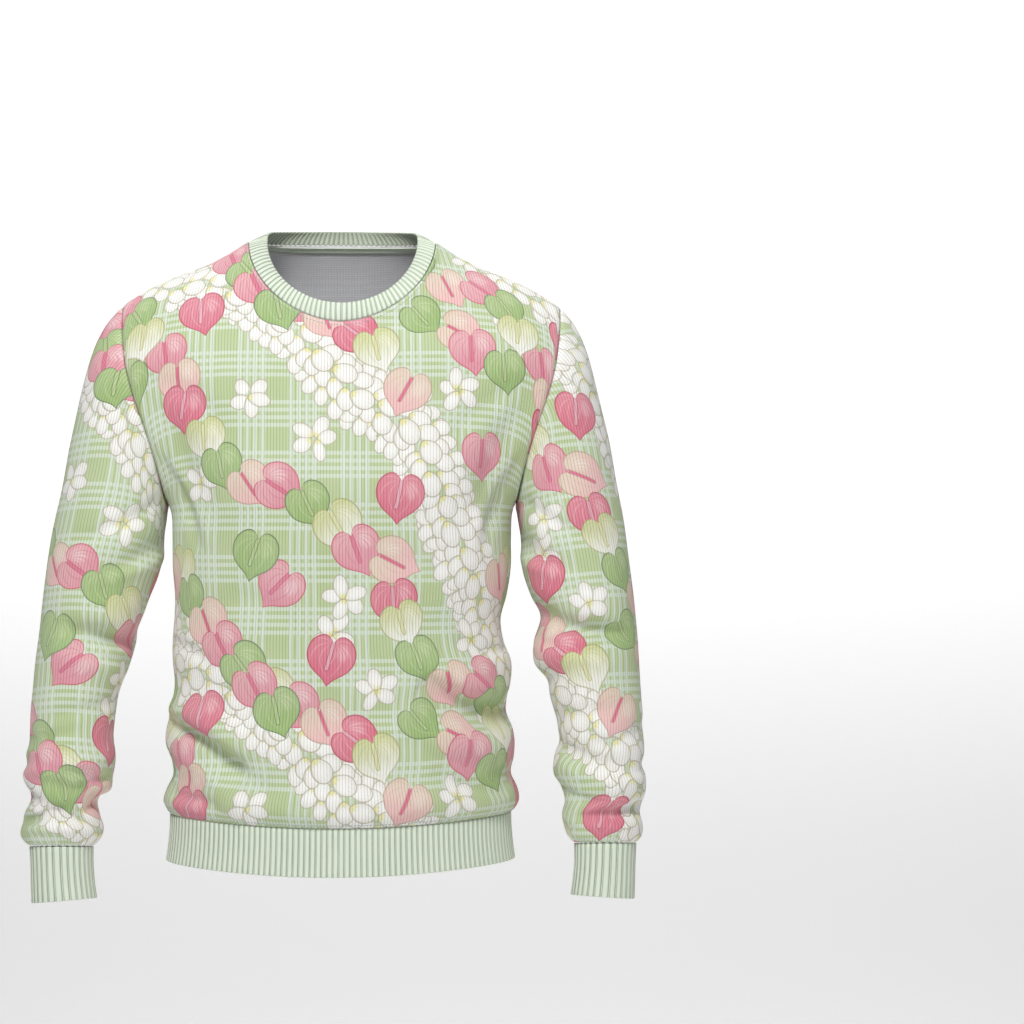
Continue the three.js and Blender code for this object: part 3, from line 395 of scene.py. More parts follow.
# Folds part of the way round: height, climb for each radian, the side that the fold faces and its
# reach in degrees (0 outer, 90 front, 180 towards the body, 270 back), half-width and rise.
RIGHT_SLEEVE_FOLDS = [
    (-424, -8, 125, 75, 13, -8), (-396, -8, 130, 80, 14, 4), (-450, -10, 120, 75, 14, 4),
    (-330, 30, 150, 60, 16, -6), (-560, 9, 90, 90, 10, 4), (-583, -12, 110, 80, 9, -6),
    (-612, 8, 60, 85, 9, -6), (-470, 14, 270, 90, 16, -7), (-590, -9, 270, 100, 11, -6),
]
LEFT_SLEEVE_FOLDS = [
    (-412, 9, 100, 75, 13, -8), (-384, 9, 105, 75, 15, 4), (-440, 8, 105, 75, 14, 4),
    (-330, 30, 150, 60, 16, -6), (-548, 9, 120, 85, 11, -6), (-583, -8, 90, 85, 11, 4),
    (-612, -6, 70, 85, 9, -7), (-480, -14, 270, 90, 16, -7), (-585, 9, 270, 100, 11, -6),
]


# %% Grids of the two sleeves
def ring_point(table, side, ring, turn):
    """A superellipse between a ring's outer and inner end, as deep as its table says; towards the
    wrist the ring leans up at the front."""
    angle = turn * 2 * np.pi
    along = signed_power(np.cos(angle), 2 / TUBE) / 2
    aside = table.read("deep", ring) * signed_power(np.sin(angle), 2 / TUBE)
    lean = WRIST_LEAN * smoothstep((ring - ELBOW_RING) / (LAST_RING - ELBOW_RING))
    out_x, in_x = table.read("outX", ring), table.read("inX", ring)
    out_z, in_z = table.read("outZ", ring), table.read("inZ", ring)
    return np.stack([side * ((out_x + in_x) / 2 + along * (out_x - in_x)),
                     -table.read("forward", ring) - aside,
                     (out_z + in_z) / 2 + along * (out_z - in_z) + lean * aside], -1)


def even_rings(table, spacing):
    """Ring numbers that stand evenly spaced down the sleeve's middle."""
    fine = np.linspace(0, LAST_RING, 2001)
    middle = (ring_point(table, 1, fine, 0 * fine) + ring_point(table, 1, fine, 0 * fine + 0.5)) / 2
    walked = np.concatenate([[0], np.cumsum(steps(middle, 0))])
    return np.interp(np.linspace(0, walked[-1], int(walked[-1] / spacing)), walked, fine)


def sleeve_folds(folds, degrees, z):
    """Adds up rise * cos(off/reach) * exp(-(across/width)^2) over the folds."""
    total = np.zeros_like(z)
    for height, climb, facing, reach, width, rise in folds:
        off = (degrees - facing + 540) % 360 - 180
        fade = np.cos(np.clip(off / reach, -1, 1) * np.pi / 2)
        total += rise * fade * bell(z - height - climb * np.radians(off), width)
    return total


def sleeve_sheet(side):
    """A sleeve's rings from the armhole down, with folds, normals and cloth coordinates: u round
    from the outer line and v up from the cuff."""
    table = RIGHT_SLEEVE if side < 0 else LEFT_SLEEVE
    edge = 0 if side < 0 else PANEL_COLUMNS
    armhole = np.concatenate([
        front["points"][TOP_ROW:UNDERARM_ROW:-1, edge],
        back["points"][UNDERARM_ROW:TOP_ROW, PANEL_COLUMNS - edge],
    ])
    walked = np.concatenate([[0], np.cumsum(steps(np.concatenate([armhole, armhole[:1]]), 0))])
    start = walked[:-1] / walked[-1]
    ring = even_rings(table, 2.6)[:, None]
    even = np.linspace(0, 1, len(start), endpoint=False)
    turn = start + (even - start) * smoothstep(ring / SLEEVE_BLEND)
    own = ring_point(table, side, ring, turn)
    shift = armhole - ring_point(table, side, 0 * start, start)
    plain = own + shift * ((1 - np.clip(ring / SLEEVE_BLEND, 0, 1)) ** 2)[..., None]
    plain[0] = armhole
    lift = sleeve_folds(RIGHT_SLEEVE_FOLDS if side < 0 else LEFT_SLEEVE_FOLDS, turn * 360, plain[..., 2])
    lift *= smoothstep((ring - 1) / 4) * smoothstep((LAST_RING - ring) / 2)
    outwards = grid_normals(plain, around=True) * side
    points = plain + outwards * lift[..., None]
    middle = np.gradient(plain.mean(1), axis=0)
    axis = unit(middle)[:, None]
    closed = np.concatenate([plain, plain[:, :1]], 1)
    step = np.diff(closed, axis=1)
    round_step = np.linalg.norm(step - (step * axis).sum(-1, keepdims=True) * axis, axis=-1)
    u = np.concatenate([np.zeros((len(plain), 1)), np.cumsum(round_step, 1)], 1)
    u = evened(u, EVENED_RINGS)
    u_back = u - u[:, -1:]
    v = -np.cumsum(np.concatenate([np.zeros((1, closed.shape[1])), steps(closed, 0)]), 0)
    v = v - v[-1:]
    return {"points": points, "normals": grid_normals(points, around=True) * side, "side": side,
            "u": u, "u_back": u_back, "v": v, "edge": edge}


right = sleeve_sheet(-1)
left = sleeve_sheet(1)
print("sleeve", round(right["u"][-1, -1]), "mm round at the cuff, ", round(right["v"].max()), "mm long")

# %% [markdown]
# ## Seams
#
# Where two pieces are sewn together the cloth is drawn in: a narrow groove with a soft swelling beside
# it. Both pieces share their edge points and one normal at each, so they sink together and stay edge
# to edge, and each edge then stands a little back, which leaves the fine dark line of a seam.


# %% Draw in the seams
def edges_of(sheet):
    """The sewn edges of a sheet, as grid places."""
    if "edge" in sheet:
        return [(0, slice(None))]
    return [(slice(None), 0), (slice(None), -1), (-1, slice(None))]


def share_normals(sheets):
    """Points that lie in the same place get the sum of all their normals, made a unit long."""
    ends = [(sheet, place) for sheet in sheets for place in edges_of(sheet)]
    points = np.concatenate([sheet["points"][place] for sheet, place in ends])
    normals = np.concatenate([sheet["normals"][place] for sheet, place in ends])
    _, group = np.unique(np.round(points, 2) + 0.0, axis=0, return_inverse=True)
    total = np.zeros_like(points)
    np.add.at(total, group.ravel(), normals)
    total = unit(total)[group.ravel()]
    start = 0
    for sheet, place in ends:
        count = len(sheet["points"][place])
        sheet["normals"][place] = total[start:start + count]
        start += count


def walked_from_ends(points, axis):
    """Distance over the cloth from the first and from the last point along one axis."""
    step = steps(points, axis)
    zero = np.zeros_like(np.take(step, [0], axis))
    first = np.concatenate([zero, np.cumsum(step, axis)], axis)
    return first, np.take(first, [-1], axis) - first


def drawn_in(distance):
    """A groove 1.1 mm deep at the seam, and a swelling of 0.5 mm that stands 7 mm from it."""
    return 0.5 * bell(distance - 7, 4) * smoothstep(distance / 4) - 1.1 * bell(distance, 2.4)


share_normals([front, back])
share_normals([front, back, right, left])
for sheet in (front, back):
    first, last = walked_from_ends(sheet["points"], 1)
    bottom, top = walked_from_ends(sheet["points"], 0)
    near = np.minimum(np.minimum(first, last), top)
    sheet["groove"] = drawn_in(near) - 0.7 * bell(bottom, 2.4)
for sheet in (right, left):
    top, bottom = walked_from_ends(sheet["points"], 0)
    sheet["groove"] = drawn_in(top) - 0.7 * bell(bottom, 2.4)

# %% [markdown]
# ## Small creases
#
# Between the large folds lie finer ones, and knit is never quite flat: a slow wave of half a
# millimetre, made of a few sines with fixed directions, breaks up its highlights.

# %% Creases and the slow wave
# Columns: from x and z, to x and z, sag, width and rise.
FINE_FRONT = [
    (-190, -512, -100, -564, 8, 7, -5.5), (-190, -498, -108, -544, 8, 9, 3.5),
    (-184, -428, -136, -452, 4, 7, -4), (-180, -590, -124, -604, 4, 7, -4.5),
    (-182, -546, -120, -584, 6, 8, 3), (-150, -546, -70, -588, 9, 9, -3),
    (88, -462, 180, -504, -8, 7, -5.5), (96, -446, 178, -484, -8, 9, 3.5),
    (96, -560, 178, -590, -6, 7, -4.5), (120, -424, 176, -440, -4, 7, -3.5),
    (60, -522, 150, -562, -8, 10, -3.5), (-70, -506, 70, -496, -6, 17, -3),
    (-196, -232, -150, -334, 10, 8, -5), (196, -232, 152, -334, -10, 8, -5),
    (-182, -240, -138, -330, 10, 8, 3), (182, -240, 140, -330, -10, 8, 3),
    (-206, -150, -110, -214, 8, 12, -3), (206, -150, 112, -218, -8, 12, -3),
    (-60, -596, 70, -598, -4, 8, -3), (-120, -380, -40, -410, 5, 14, -2.5),
    (30, -330, 120, -352, -5, 14, -2.5),
]
FINE_BACK = [
    (176, -360, 60, -430, 12, 9, -4.5), (-176, -390, -70, -450, -10, 9, -4.5),
    (150, -585, 20, -600, 6, 8, -3.5), (-150, -580, -30, -598, -6, 8, -3.5),
    (196, -250, 130, -360, -10, 10, -4.5), (-196, -250, -130, -360, 10, 10, -4.5),
    (182, -470, 60, -540, 12, 8, -5), (-182, -505, -90, -560, -8, 8, -5),
    (60, -300, -60, -320, 4, 15, -2.5),
]
# Columns: height, climb, side, reach, width and rise, as for the large folds of the sleeves.
FINE_RIGHT = [
    (-300, 24, 120, 70, 9, -4.5), (-352, 16, 140, 70, 8, 3), (-426, -8, 128, 62, 7.5, -6),
    (-408, -8, 130, 60, 8, 3), (-444, -12, 120, 60, 7, -4), (-500, 8, 110, 80, 9, -3.5),
    (-528, 10, 60, 70, 8, -4), (-566, -10, 110, 60, 7, -5), (-578, 12, 130, 55, 7, -4.5),
    (-594, -8, 40, 55, 7, -4), (-611, 12, 62, 55, 6.5, -6), (-612, -14, 118, 55, 6.5, -5.5),
    (-602, 12, 160, 60, 6, -4), (-623, 0, 90, 80, 6, 2.5), (-634, -4, 100, 110, 5, -2.5),
    (-420, 12, 270, 80, 9, -5), (-520, -12, 270, 90, 9, -5), (-575, 10, 270, 90, 8, -5),
    (-608, -8, 270, 90, 7, -5), (-560, 8, 0, 60, 8, -4),
]
FINE_LEFT = [
    (-300, 24, 120, 70, 9, -4.5), (-352, 16, 140, 70, 8, 3), (-416, 6, 92, 62, 7.5, -6),
    (-400, 6, 95, 60, 8, 3), (-434, 12, 120, 60, 7, -4), (-470, -10, 160, 60, 11, -5),
    (-505, -8, 120, 80, 9, -3.5), (-530, -10, 60, 70, 8, -4), (-554, 14, 108, 62, 7.5, -5.5),
    (-571, 14, 108, 60, 9, 3.5), (-592, 10, 140, 60, 7, -4.5), (-610, -6, 74, 70, 6.5, -6),
    (-622, 2, 90, 80, 6, 2.5), (-634, 4, 90, 110, 5, -2.5), (-430, -12, 270, 80, 9, -5),
    (-525, 12, 270, 90, 9, -5), (-578, -10, 270, 90, 8, -5), (-608, 8, 270, 90, 7, -5),
    (-560, -8, 0, 60, 8, -4),
]


def slow_wave(u, v):
    """0.22 mm times the sum of five sines over the cloth, 60 to 140 mm from crest to crest."""
    waves = [(0.052, 0.020, 0.3), (-0.031, 0.058, 1.9), (0.071, -0.044, 4.1), (0.018, 0.083, 2.6),
             (-0.08, -0.03, 5.2)]
    return 0.22 * sum(np.sin(a * u + b * v + phase) for a, b, phase in waves)


def finish_sheet(sheet, lift, to_seams, part):
    """Moves the points out along their normals by creases and seams, and parts the edges."""
    lift = lift * to_seams + sheet["groove"]
    points = sheet["points"] + sheet["normals"] * lift[..., None]
    for place, beside in part:
        way = unit(points[beside] - points[place])
        points[place] = points[place] + 0.12 * way
    sheet["cloth"] = points


whole = slice(None)
for sheet, fine in ((front, FINE_FRONT), (back, FINE_BACK)):
    first, last = walked_from_ends(sheet["points"], 1)
    bottom, top = walked_from_ends(sheet["points"], 0)
    away = smoothstep(np.minimum(np.minimum(first, last), np.minimum(bottom, top)) / 22)
    x, z = sheet["points"][..., 0], sheet["points"][..., 2]
    finish_sheet(sheet, fold_lift(fine, x, z) + slow_wave(sheet["u"], sheet["v"]), away,
                 [((whole, 0), (whole, 1)), ((whole, -1), (whole, -2)), ((-1, whole), (-2, whole))])
for sheet, fine in ((right, FINE_RIGHT), (left, FINE_LEFT)):
    top, bottom = walked_from_ends(sheet["points"], 0)
    away = smoothstep(np.minimum(top, bottom) / 22)
    degrees = np.linspace(0, 360, sheet["points"].shape[1], endpoint=False)
    wave = slow_wave(200 * np.cos(np.radians(degrees)) / 4, sheet["v"][:, :-1])
    finish_sheet(sheet, sleeve_folds(fine, degrees, sheet["points"][..., 2]) + wave, away,
                 [((0, whole), (1, whole))])
print("deepest groove", round(float(front["groove"].min()), 2), "mm")

# %% [markdown]
# ## The print
#
# The knit carries an all-over print: a light plaid, garlands of white five-petalled blossoms, and
# chains of heart-shaped blooms in pinks, blush and greens. The pattern here is a repeat of its own, 400
# by 430 mm: two garland and chain lines swing across it and meet themselves at its edges, and single
# blooms fill the gaps. Each motif is only a place, a direction, a size and a kind. Its outline and veins
# are drawn later by the material.

# %% The repeat: petals and hearts
REPEAT_WIDE, REPEAT_HIGH = 400, 430
GARLAND = [(-200, -62), (-128, -46), (-52, 4), (6, 70), (78, 128), (116, 214), (152, 292)]
CHAIN = [
    (-200, 6), (-166, 62), (-146, 118), (-100, 168), (-42, 184), (10, 226), (52, 262), (66, 322),
    (104, 366), (160, 384),
]
SWAG = [(-196, 236), (-166, 292), (-120, 352), (-62, 392), (-4, 424), (50, 458)]
SHORT_SWAG = [(58, -24), (104, 0), (150, 20), (186, 52)]
SINGLE_HEARTS = [  # across, down, direction of the tip in degrees (90 is down), kind
    (64, 176, 96, 2), (74, 66, 112, 1), (-52, 272, 130, 0), (-84, 236, 104, 4), (-150, 404, 78, 2),
    (-96, -54, 60, 0), (-70, -30, 70, 4), (152, 130, 84, 0), (182, 262, 70, 1), (-6, 344, 100, 2),
]
BLOSSOMS = [
    (-92, 88), (-26, 132), (122, 78), (4, 296), (38, 392), (-150, 176), (-158, 330), (148, 340), (176, -20),
    (-6, -96),
]
rng = np.random.default_rng(24)


def along_line(knots, spacing, closed):
    """Points and directions spaced evenly along a smooth line through a few knots. A closed line goes
    on into the next repeat."""
    knots = np.array(knots, float)
    if closed:
        jump = np.array([REPEAT_WIDE, REPEAT_HIGH])
        knots = np.concatenate([knots[-2:] - jump, knots, knots[:3] + jump])
    index = np.arange(len(knots), dtype=float)
    line = Table("i s t", np.column_stack([index, knots]))
    fine = np.linspace(2, len(knots) - 3, 600) if closed else np.linspace(0, len(knots) - 1, 600)
    points = np.stack([line.read("s", fine), line.read("t", fine)], -1)
    walked = np.concatenate([[0], np.cumsum(steps(points, 0))])
    count = round(walked[-1] / spacing)
    at = (np.arange(count) + 0.5) * walked[-1] / count
    place = np.stack([np.interp(at, walked, points[:, k]) for k in (0, 1)], -1)
    way = unit(np.stack([np.interp(at, walked[1:], np.diff(points[:, k])) for k in (0, 1)], -1))
    return place, np.degrees(np.arctan2(way[:, 1], way[:, 0]))


def petal_rows(place, angle, length, width, layer):
    """Rows of across, down, angle, half-length, half-width and layer, with a little chance in each."""
    n = len(place)
    jitter = rng.normal(size=(n, 5))
    return np.column_stack([
        place + jitter[:, :2] * 1.6, angle + jitter[:, 2] * 11, length * (1 + 0.05 * jitter[:, 3]),
        width * (1 + 0.06 * jitter[:, 4]), layer + rng.random(n),
    ])


def beside(place, angle, off):
    """Points moved to the side of their direction."""
    turn = np.radians(angle)
    return place + off * np.stack([-np.sin(turn), np.cos(turn)], -1)


stations, course = along_line(GARLAND, 15, True)
garland = []
for side in (-1, 1):
    garland.append(petal_rows(beside(stations, course, 28 * side), course + 62 * side, 11.5, 8, 0))
    garland.append(petal_rows(beside(stations, course, 23 * side), course + 118 * side, 11, 7.5, 0))
    garland.append(petal_rows(beside(stations, course, 13 * side), course + 36 * side, 12.5, 9.5, 1))
for side in (-1, 1):
    garland.append(petal_rows(beside(stations[1 + side::4], course[1 + side::4], 5 * side),
                              course[1 + side::4] + 14 * side, 14, 11, 2))
blossoms = []
for centre in BLOSSOMS:
    angle = rng.uniform(0, 72) + np.arange(5) * 72.0
    arm = np.stack([np.cos(np.radians(angle)), np.sin(np.radians(angle))], -1) * 12.2
    blossoms.append(petal_rows(np.array(centre) + arm, angle, 12.3, 7.8, 3))
PETALS = np.concatenate(garland + blossoms)
PETALS = PETALS[np.argsort(-PETALS[:, 5])]

KINDS = [0, 1, 2, 3, 4, 1, 0, 4, 3]  # light pink, blush, deep pink, pale and green, along a chain


def heart_rows(knots, closed, first):
    """Rows of across, down, angle, length, kind and layer for the hearts of one chain."""
    place, angle = along_line(knots, 35, closed)
    n = len(place)
    kinds = [KINDS[(first + i) % len(KINDS)] for i in range(n)]
    turned = 90 + 0.62 * (angle - 90) + rng.normal(size=n) * 14
    return np.column_stack([place + rng.normal(size=(n, 2)) * 3, turned, 43 + rng.normal(size=n) * 1.8,
                            kinds, np.arange(n)])


singles = np.array([(s, t, angle, 45, kind, 40 + i)
                    for i, (s, t, angle, kind) in enumerate(SINGLE_HEARTS)], float)
HEARTS = np.concatenate([heart_rows(CHAIN, True, 0), heart_rows(SWAG, False, 3),
                         heart_rows(SHORT_SWAG, False, 4), singles])
HEARTS = HEARTS[np.argsort(-HEARTS[:, 5])]
print("the repeat has", len(PETALS), "petals and", len(HEARTS), "hearts")


# %% Lay the repeat over a piece
HEART_TURN = [0, 8, 16, 29, 50, 82, 110, 138, 155, 166, 173, 180]  # degrees from the notch to the tip
HEART_REACH = [0.33, 0.44, 0.53, 0.588, 0.605, 0.572, 0.532, 0.5, 0.505, 0.54, 0.59, 0.68]
HEART_MIDDLE = 0.33
REACH = 54  # no part of a motif is further than this from its place


def petal_size(a, b):
    """1 on a petal's outline: an oval that is wider towards its tip and narrows to both ends."""
    return np.hypot(a, b / (1 + 0.12 * a - 0.16 * a * a))


def heart_size(a, b):
    """1 on a heart's outline, which is given as distances from its middle at a few angles."""
    out = a - HEART_MIDDLE
    turn = np.degrees(np.arctan2(np.abs(b), -out))
    return np.hypot(out, b) / np.interp(turn, HEART_TURN, HEART_REACH)


def lay_motifs(corners, motifs, size, layers):
    """For each face, the topmost motifs that touch it, as many as there are layers, ending at the
    first that covers it. Gives each layer's local place of every corner, with the motif's kind."""
    middle = corners.mean(1)
    spread = np.linalg.norm(corners - middle[:, None], axis=-1).max(1)
    chosen = np.full((layers, len(corners)), -1)
    count = np.zeros(len(corners), int)
    low, high = corners.min((0, 1)), corners.max((0, 1))
    tiles = [(i, j) for i in range(-3, 4) for j in range(-3, 4)]
    placed = []
    for row in motifs:
        for i, j in tiles:
            spot = (row[0] + i * REPEAT_WIDE, row[1] + j * REPEAT_HIGH)
            if low[0] - REACH < spot[0] < high[0] + REACH and low[1] - REACH < spot[1] < high[1] + REACH:
                placed.append((*spot, *row[2:]))
    for number, (s, t, angle, long, wide, _) in enumerate(placed):
        off = np.abs(middle - (s, t)).max(1)
        near = np.flatnonzero((off < REACH) & (count < layers))
        across = wide if size is petal_size else long
        a, b = local_place(middle[near], s, t, angle, long, across)
        margin = spread[near] / min(long, across) * (1.25 if size is petal_size else 1.9)
        r = size(a, b)
        touched = near[r < 1 + margin]
        chosen[count[touched], touched] = number
        count[touched] += 1
        count[near[r < 1 - margin]] = layers
    placed = np.array(placed + [(1e6, 1e6, 0, 1, 1, 0)])
    result = []
    for layer in chosen:
        s, t, angle, long, wide, order = placed[layer][:, :, None].transpose(1, 0, 2)
        across = wide if size is petal_size else long
        a, b = local_place(corners, s, t, angle, long, across)
        code = (order % 1 if size is petal_size else wide + 0.5) + 0 * a
        away = (layer < 0)[:, None]
        result.append(np.stack([np.where(away, 9, a), np.where(away, 9, b), np.where(away, 0, code)], -1))
    return result


def local_place(points, s, t, angle, long, across):
    """Places along and across a motif, as shares of its length and width."""
    turn = np.radians(angle)
    x, y = points[..., 0] - s, points[..., 1] - t
    return (x * np.cos(turn) + y * np.sin(turn)) / long, (y * np.cos(turn) - x * np.sin(turn)) / across


def print_on(piece, across, down):
    """Stores the cloth's own place of each corner in millimetres, and the layers of motifs."""
    corners = np.stack([across, down], -1)
    corner_vectors(piece, "cloth", np.concatenate([corners, 0 * corners[..., :1]], -1))
    for number, layer in enumerate(lay_motifs(corners, PETALS, petal_size, 3)):
        corner_vectors(piece, f"petal_{number}", layer)
    for number, layer in enumerate(lay_motifs(corners, HEARTS, heart_size, 3)):
        corner_vectors(piece, f"heart_{number}", layer)


# %% [markdown]
# ## Formulas as nodes
#
# A node material is arithmetic on numbers that vary over the surface. Written out node by node it is
# long, so a small class stands for one number in a node tree, and ordinary arithmetic on it adds the
# Math nodes.


# %% Arithmetic that builds nodes
def colour(red, green, blue):
    """A colour as a screen shows it, 0 to 255, turned into light: about the 2.2th power."""
    parts = (c / 255 for c in (red, green, blue))
    return (*(c / 12.92 if c <= 0.04045 else ((c + 0.055) / 1.055) ** 2.4 for c in parts), 1)


def node_of(tree, kind, inputs=(), **settings):
    """Adds a node, with its settings, and puts values or other nodes' results into its inputs."""
    node = tree.nodes.new(kind)
    for name, value in settings.items():
        setattr(node, name, value)
    for place, value in dict(inputs).items():
        if isinstance(value, (Number, Shade)):
            tree.links.new(value.socket, node.inputs[place])
        else:
            node.inputs[place].default_value = value
    return node


class Shade:
    """A colour in a node tree."""

    def __init__(self, tree, socket):
        self.tree, self.socket = tree, socket

    def mixed(self, other, share, blend="MIX"):
        """This colour at share 0, the other at share 1."""
        inputs = {0: share, 6: self, 7: other}
        node = node_of(self.tree, "ShaderNodeMix", inputs, data_type="RGBA", blend_type=blend)
        return Shade(self.tree, node.outputs[2])


class Number(Shade):
    """A number in a node tree. Arithmetic on it adds Math nodes."""

    def math(self, operation, *others):
        inputs = dict(enumerate((self, *others)))
        return Number(self.tree, node_of(self.tree, "ShaderNodeMath", inputs, operation=operation).outputs[0])

    def __add__(self, other): return self.math("ADD", other)
    def __sub__(self, other): return self.math("SUBTRACT", other)
    def __mul__(self, other): return self.math("MULTIPLY", other)
    def __truediv__(self, other): return self.math("DIVIDE", other)
    def __pow__(self, other): return self.math("POWER", other)
    def __abs__(self): return self.math("ABSOLUTE")
    def sine(self): return self.math("SINE")
    def root(self): return self.math("SQRT")
    def wrapped(self, period): return self.math("FLOORED_MODULO", period)
    def least(self, other): return self.math("MINIMUM", other)
    def most(self, other): return self.math("MAXIMUM", other)

    def between(self, low, high, to_low=0.0, to_high=1.0):
        """A smooth step: to_low at low and below, to_high at high and above."""
        inputs = {0: self, 1: low, 2: high, 3: to_low, 4: to_high}
        node = node_of(self.tree, "ShaderNodeMapRange", inputs, interpolation_type="SMOOTHSTEP")
        return Number(self.tree, node.outputs[0])


def attribute(tree, name):
    """The three parts of a vector that the mesh carries."""
    node = node_of(tree, "ShaderNodeAttribute", attribute_name=name)
    return parts_of(tree, node.outputs["Vector"])


def parts_of(tree, socket):
    split = tree.nodes.new("ShaderNodeSeparateXYZ")
    tree.links.new(socket, split.inputs[0])
    return [Number(tree, out) for out in split.outputs]


def plain(tree, value):
    """One colour."""
    shade = Shade(tree, node_of(tree, "ShaderNodeRGB").outputs[0])
    shade.socket.default_value = value
    return shade


def kinds_of(tree, factor, colours):
    """Picks one of several screen colours by a number from 0 to 1, in equal steps."""
    node = node_of(tree, "ShaderNodeValToRGB", {0: factor})
    node.color_ramp.interpolation = "CONSTANT"
    stops = node.color_ramp.elements
    for i, value in enumerate(colours):
        stop = stops[i] if i < 2 else stops.new(i / len(colours))
        stop.position, stop.color = i / len(colours), colour(*value)
    return Shade(tree, node.outputs[0])


def motif_group(name, draw):
    """A node group that draws one motif over a colour: place and colour in, colour out."""
    tree = bpy.data.node_groups.new(name, "ShaderNodeTree")
    sockets = (("Place", "INPUT", "Vector"), ("Under", "INPUT", "Color"), ("Colour", "OUTPUT", "Color"))
    for label, way, kind in sockets:
        tree.interface.new_socket(label, in_out=way, socket_type="NodeSocket" + kind)
    given, result = tree.nodes.new("NodeGroupInput"), tree.nodes.new("NodeGroupOutput")
    a, b, kind = parts_of(tree, given.outputs[0])
    drawn = draw(tree, a, b, kind, Shade(tree, given.outputs[1]))
    tree.links.new(drawn.socket, result.inputs[0])
    return tree


# %% [markdown]
# ## Drawing the motifs
#
# Each motif is drawn from its own local place: a runs from its base towards its tip and b across. A
# petal is an oval with a fine taupe outline, a curled rim drawn as a second line, and a yellow base. A
# heart-shaped bloom is given as distances from its middle at each angle, and has a darker outline,
# curved veins that spring from its notch, and a spadix.


# %% Petal
def draw_petal(tree, a, b, chance, under):
    width = a * (a * -0.16 + 0.12) + 1
    size = (a * a + (b / width) ** 2).root()
    side = b + (chance * 37).sine() * 0.25
    rim_a, rim_b = a - 0.06, b / width + 0.17
    rim = abs((rim_a * rim_a + rim_b * rim_b).root() - 1.02).between(0.055, 0.02) * side.between(-0.1, 0.2)
    outline = size.between(0.885, 0.94)
    yellow_edge = a + (b * 15 + chance * 40).sine() * 0.1
    yellow = yellow_edge.between(-0.4, -0.78) * abs(b).between(0.62, 0.2)
    streak = (b * 17 + chance * 9 + a * 2).sine().between(0.72, 1)
    streak = streak * size.between(0.92, 0.4) * a.between(0.1, 0.7)
    petal = plain(tree, colour(254, 253, 249))
    petal = petal.mixed(colour(222, 218, 204), size.between(0.3, 1.0) * 0.4)
    petal = petal.mixed(colour(236, 232, 150), yellow * 0.85)
    petal = petal.mixed(colour(178, 169, 148), (outline * 0.85).most(rim * 0.6).most(streak * 0.3))
    return under.mixed(petal, size.between(1.0, 0.98))


# %% Heart-shaped bloom
HEART_COLOURS = {  # light pink, blush, deep pink, pale and green
    "lobes": [(236, 180, 186), (234, 214, 196), (230, 144, 158), (216, 220, 168), (178, 201, 142)],
    "tip": [(230, 156, 170), (244, 196, 196), (224, 122, 142), (246, 246, 238), (164, 192, 126)],
    "veins": [(214, 112, 134), (224, 184, 168), (246, 200, 208), (190, 192, 130), (212, 226, 182)],
    "lines": [(208, 92, 116), (196, 168, 142), (190, 72, 100), (176, 172, 118), (104, 126, 92)],
    "spadix": [(226, 130, 154), (226, 116, 146), (232, 178, 190), (226, 226, 178), (188, 206, 150)],
    "glow": [(250, 226, 226), (250, 238, 226), (250, 206, 214), (248, 246, 226), (206, 222, 172)],
}


def heart_outline(tree, factor):
    """The heart's table of distances as a curve node, over the angle's share of a half turn."""
    node = node_of(tree, "ShaderNodeFloatCurve", {1: factor})
    points = node.mapping.curves[0].points
    for i, (turn, reach) in enumerate(zip(HEART_TURN, HEART_REACH)):
        place = (turn / 180, reach)
        if i in (0, len(HEART_TURN) - 1):
            points[0 if i == 0 else len(points) - 1].location = place
        else:
            points.new(*place)
    node.mapping.update()
    return Number(tree, node.outputs[0])


def draw_heart(tree, a, b, kind, under):
    factor = kind / 5
    out = a - HEART_MIDDLE
    turn = abs(b).math("ARCTAN2", out * -1) / math.pi
    size = (out * out + b * b).root() / heart_outline(tree, turn)
    rows = HEART_COLOURS.values()
    lobes, tips, veins, lines, spadix_colours, pale = (kinds_of(tree, factor, row) for row in rows)
    body = lobes.mixed(tips, a.between(-0.1, 0.85))
    reach = (a * a + b * b).root()
    springing = abs(b).math("ARCTAN2", a) + reach * 1.5
    wobble = (reach * 9 + kind * 3).sine() * 0.25
    vein = (springing * 11.5 + wobble).sine().between(0.8, 1) * reach.between(1.0, 0.2) * size.between(1.0, 0.8)
    glow_b = b + 0.25
    glow = ((out + 0.14) * (out + 0.14) * 14 + glow_b * glow_b * 30).between(1, 0)
    glow = glow * (springing * 23).sine().between(-1.6, 0.8)
    body = body.mixed(veins, vein * 0.5)
    body = body.mixed(pale, glow * 0.6)
    body = body.mixed(lines, size.between(0.86, 1.0) * 0.3)
    along = a.most(0.0).least(0.6)
    off = b - a * 0.1
    beyond = a - along
    spadix = (off * off + beyond * beyond).root()
    body = body.mixed(lines, spadix.between(0.062, 0.045) * 0.8)
    body = body.mixed(spadix_colours, spadix.between(0.044, 0.03))
    body = body.mixed(lines, size.between(0.945, 0.975) * 0.9)
    return under.mixed(body, size.between(1.005, 0.99))


petal_group = motif_group("petal", draw_petal)
heart_group = motif_group("heart", draw_heart)
print("petal group has", len(petal_group.nodes), "nodes and heart group", len(heart_group.nodes))

# %% [markdown]
# ## The knit
#
# Fine plain knit is made of columns of V-shaped stitches, here 3.25 mm wide, which show as fine
# upright lines. The height of the yarn is a formula of the cloth's own place: two slanting legs beside
# each column's middle, cut across by the stitches. It gives the bump, and painted shade darkens the
# grooves and the low parts of the yarn, which breaks the print's colours a little. A soft noise lightens
# them here and there, as a dyed yarn does.


# %% The knit's height and the plaid
WALE, COURSE = 3.25, 2.7  # mm from one column of stitches to the next, and from one row to the next


